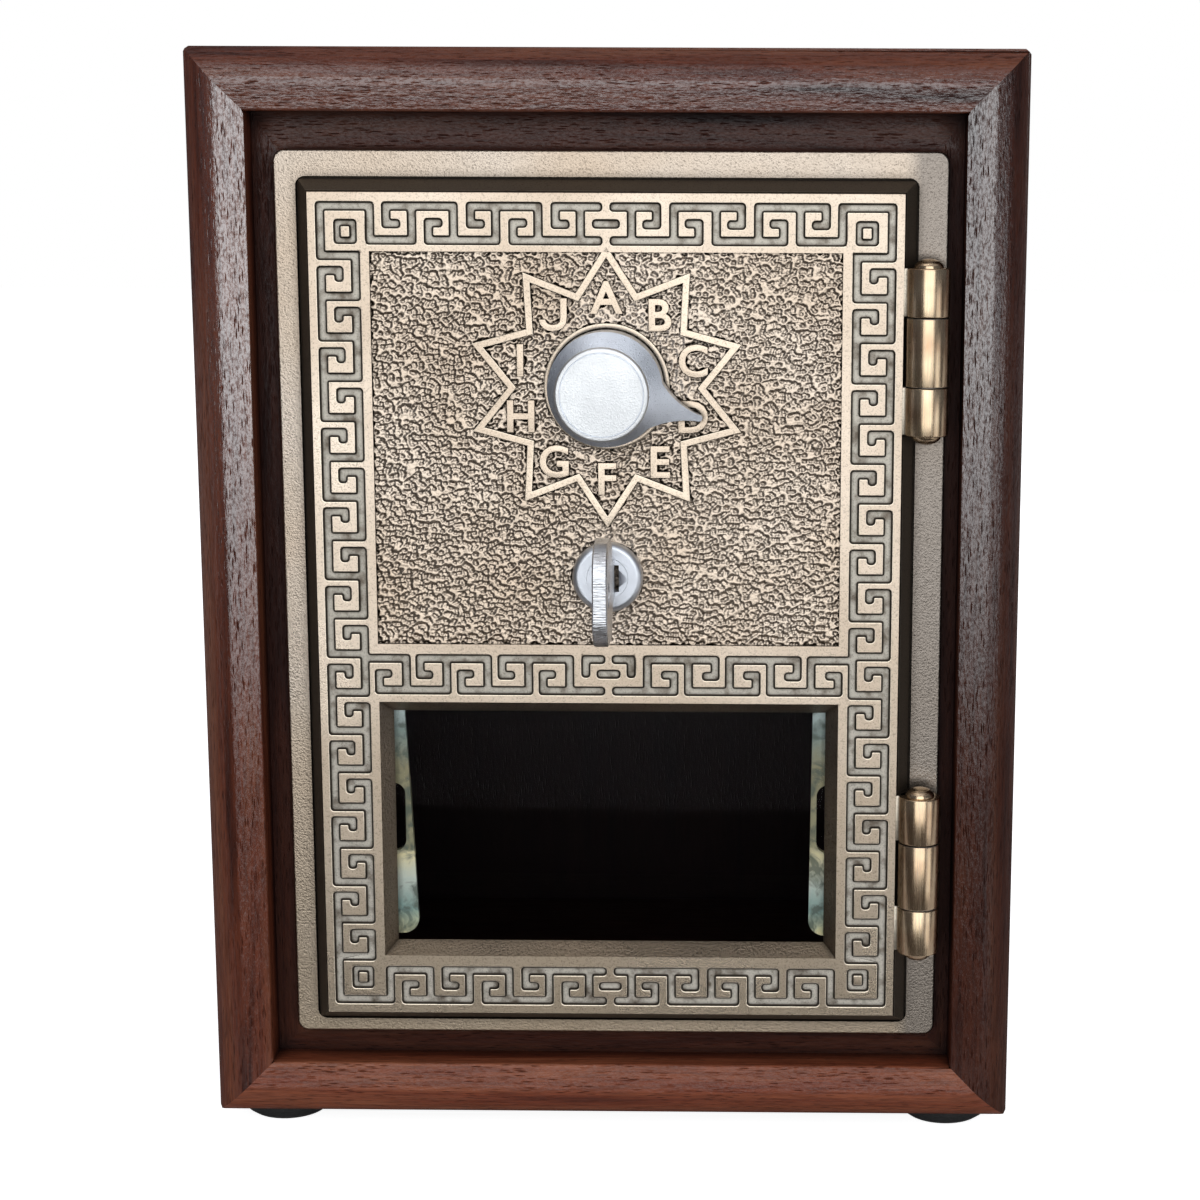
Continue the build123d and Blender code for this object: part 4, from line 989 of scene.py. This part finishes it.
def makeLetters():
    pieces = []
    for index, mark in enumerate(letters["marks"]):
        angle = pi / 2 - index * 2 * pi / len(letters["marks"])
        place = at(letters["radius"] * cos(angle), door["front"] + letters["raise"] / 2,
                   door["dialZ"] - letters["drop"] + letters["radius"] * sin(angle))
        clearSelection()
        bpy.ops.object.text_add()
        text = bpy.context.object
        text.data.body = "U" if mark == "J" else mark       # the hooked J is a U without its left stem
        text.data.align_x = text.data.align_y = "CENTER"
        text.data.size = letters["height"] / letters["capShare"] * mm
        text.data.offset = letters["weight"] * mm
        text.data.extrude = letters["raise"] * mm / 2
        text.data.bevel_depth = letters["edge"] * mm
        text.data.resolution_u = 4
        bpy.ops.object.convert(target="MESH")
        shape = bpy.context.object
        shape.rotation_euler = (pi / 2, 0, 0)
        shape.location = place
        settle(shape, "mark" + mark)
        # each letter's outline is centred on its place round the dial
        acrosses = [v.co.x for v in shape.data.vertices]
        heights = [v.co.z for v in shape.data.vertices]
        shape.location = (place.x - (max(acrosses) + min(acrosses)) / 2, 0,
                          place.z - (max(heights) + min(heights)) / 2)
        settle(shape, "mark" + mark)
        if mark == "J":
            cleanMesh(shape, 2 * tiny)
            x, z = place.x / mm, place.z / mm
            cutAway(shape, addBox("stemCut", x - 5, x - letters["stemRight"], -1, 4,
                                  z - letters["stemLow"], z + 5))
        pieces.append(shape)
    marks = joinPieces(pieces, "dialLetters")
    cleanMesh(marks, 2 * tiny)
    finishPiece(marks, 35, wornBrass)
    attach(marks, "door")


hinge = {"edge": 0.25, "webTuck": 0.8, "webFront": 0.05, "domeShare": 0.62, "skin": 0.03, "skinWall": 0.5,
         "skinEdge": 0.2}


def makeOuterKnuckles():
    # the leaf's knuckles, one above and one below the frame's at each hinge, and their webs
    pieces, webs = [], []
    d = door
    for z in d["hingeHeights"]:
        for side in (-1, 1):
            middle = z + side * (d["middleKnuckle"] / 2 + d["knuckleGap"] + d["outerKnuckle"] / 2)
            barrel = addBarrel("barrel", d["knuckleRadius"], d["outerKnuckle"], middle)
            softenEdges(barrel, hinge["edge"], 3, 60)
            web = addBox("web", d["halfWidth"] - hinge["webTuck"], d["hingeX"],
                         d["front"] + hinge["webFront"], d["hingeDepth"] + d["knuckleRadius"],
                         middle - d["outerKnuckle"] / 2, middle + d["outerKnuckle"] / 2)
            softenEdges(web, hinge["edge"], 2, 60)
            pieces.append(barrel)
            webs.append(web)
        for side in (-1, 1):
            end = z + side * (d["middleKnuckle"] / 2 + d["knuckleGap"] + d["outerKnuckle"])
            clearSelection()
            bpy.ops.mesh.primitive_uv_sphere_add(segments=32, ring_count=16, radius=d["pinHead"] * mm,
                                                 location=at(d["hingeX"], d["hingeDepth"], end))
            dome = bpy.context.object
            dome.scale = (1, 1, hinge["domeShare"])
            pieces.append(settle(dome, "dome"))
    knuckles = joinPieces(pieces, "outerKnuckles")
    finishPiece(knuckles, 35, pinBrass)
    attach(knuckles, "door")
    plates = joinPieces(webs, "knuckleWebs")
    finishPiece(plates, 35, doorBrass)
    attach(plates, "door")


keyway = {"left": 0.6, "right": 2.15, "front": -6, "back": 3.0, "half": 2.5}


def makePlug():
    # the plug again, with the dark keyway that shows beside the key
    plug = copyPiece(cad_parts["lock_plug"], "keyedPlug")
    cleanMesh(plug)
    cutAway(plug, addBox("keywayCut", keyway["left"], keyway["right"], keyway["front"], keyway["back"],
                         door["lockZ"] - keyway["half"], door["lockZ"] + keyway["half"]))
    finishPiece(plug, 30, lockNickel)
    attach(plug, "plug")
    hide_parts("lock_plug")


boards = {"lipDepth": 0.9, "ridgeRound": 1.1, "lipRound": 0.5}


def makeBoards():
    # the four moulded boards again, with the worn ridge and lips that catch the light
    for side, finish in (("left", uprightWalnut), ("right", rightWalnut), ("top", levelWalnut),
                         ("bottom", bottomWalnut)):
        board = copyPiece(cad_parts["case_" + side], side + "Board")
        cleanMesh(board)
        points = board.data.vertices
        for depth, width in ((0.0, boards["ridgeRound"]), (boards["lipDepth"], boards["lipRound"])):
            line = at(0, depth, 0).y
            selectWhere(board, lambda edge: all(abs(points[i].co.y - line) < 2 * hair * mm
                                                for i in edge.vertices), "EDGE")
            bpy.ops.mesh.bevel(offset=width * mm, segments=4, affect="EDGES")
            finishEdit()
        finishPiece(board, 30, finish, weighted=True)
        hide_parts("case_" + side)


lockFace = {"radius": 6.6, "bore": 3.87, "front": -0.8, "back": 2.1, "roll": 1.25}


def makeLockFace():
    # the lock's face, flatter than the solid's dome and rolled over at its edge
    face = addRod("lockFace", 0, door["lockZ"], lockFace["radius"], lockFace["front"], lockFace["back"])
    softenEdges(face, lockFace["roll"], 7, 60)
    cutAway(face, addRod("boreCut", 0, door["lockZ"], lockFace["bore"], lockFace["front"] - 1,
                         lockFace["back"] + 1))
    finishPiece(face, 30, lockNickel, weighted=True)
    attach(face, "door")


knob = {"capRadius": 8.45, "capFront": -14.86, "capBack": -13.3, "edge": 0.4, "ringOuter": 7.62,
        "ringInner": 7.38, "ringDeep": 0.16, "ringBottom": 0.02}


def makeKnobCap():
    # the knob's flat face with its fine turned ring
    cap = addRod("knobCap", 0, door["dialZ"], knob["capRadius"], knob["capFront"], knob["capBack"])
    frontLine = at(0, knob["capFront"], 0).y
    softenEdges(cap, knob["edge"], 4, 60)
    selectWhere(cap, lambda face: abs(face.center.y - frontLine) < tiny)
    slope = (knob["ringOuter"] - knob["ringInner"]) / 2 * mm
    bpy.ops.mesh.inset(thickness=(knob["capRadius"] - knob["edge"] - knob["ringOuter"]) * mm)
    bpy.ops.mesh.inset(thickness=slope)
    bpy.ops.transform.translate(value=(0, knob["ringDeep"] * mm, 0))
    bpy.ops.mesh.inset(thickness=knob["ringBottom"] * mm)
    bpy.ops.mesh.inset(thickness=slope)
    bpy.ops.transform.translate(value=(0, -knob["ringDeep"] * mm, 0))
    finishEdit()
    finishPiece(cap, 30, knobFinish)
    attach(cap, "dial")


def makeMiddleKnuckles():
    # bright turned skin of the two knuckles that belong to the frame
    pieces = []
    for z in door["hingeHeights"]:
        skin = addBarrel("skin", door["knuckleRadius"] + hinge["skin"], door["middleKnuckle"], z,
                         ends="NOTHING")
        cleanMesh(skin)
        applyModifier(skin, "SOLIDIFY", thickness=hinge["skinWall"] * mm, offset=-1)
        softenEdges(skin, hinge["skinEdge"], 3, 60)
        pieces.append(skin)
    knuckles = joinPieces(pieces, "middleKnuckles")
    finishPiece(knuckles, 35, pinBrass)
    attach(knuckles, "case")


makeDoorFront()
print("door front")
fieldMiddle = (door["fieldLow"] + door["fieldHigh"]) / 2
makeField("pebbledFieldLow", door["fieldLow"] - pebbles["overlap"], fieldMiddle)
makeField("pebbledFieldHigh", fieldMiddle, door["fieldHigh"] + pebbles["overlap"])
makeStar()
makeLetters()
makeOuterKnuckles()
makeMiddleKnuckles()
print("field, star, letters, knuckles")
makeBoards()
makeKnobCap()
makePlug()
makeLockFace()
print("boards, knob and lock")

addCamera()
addStudio()
addLamps()
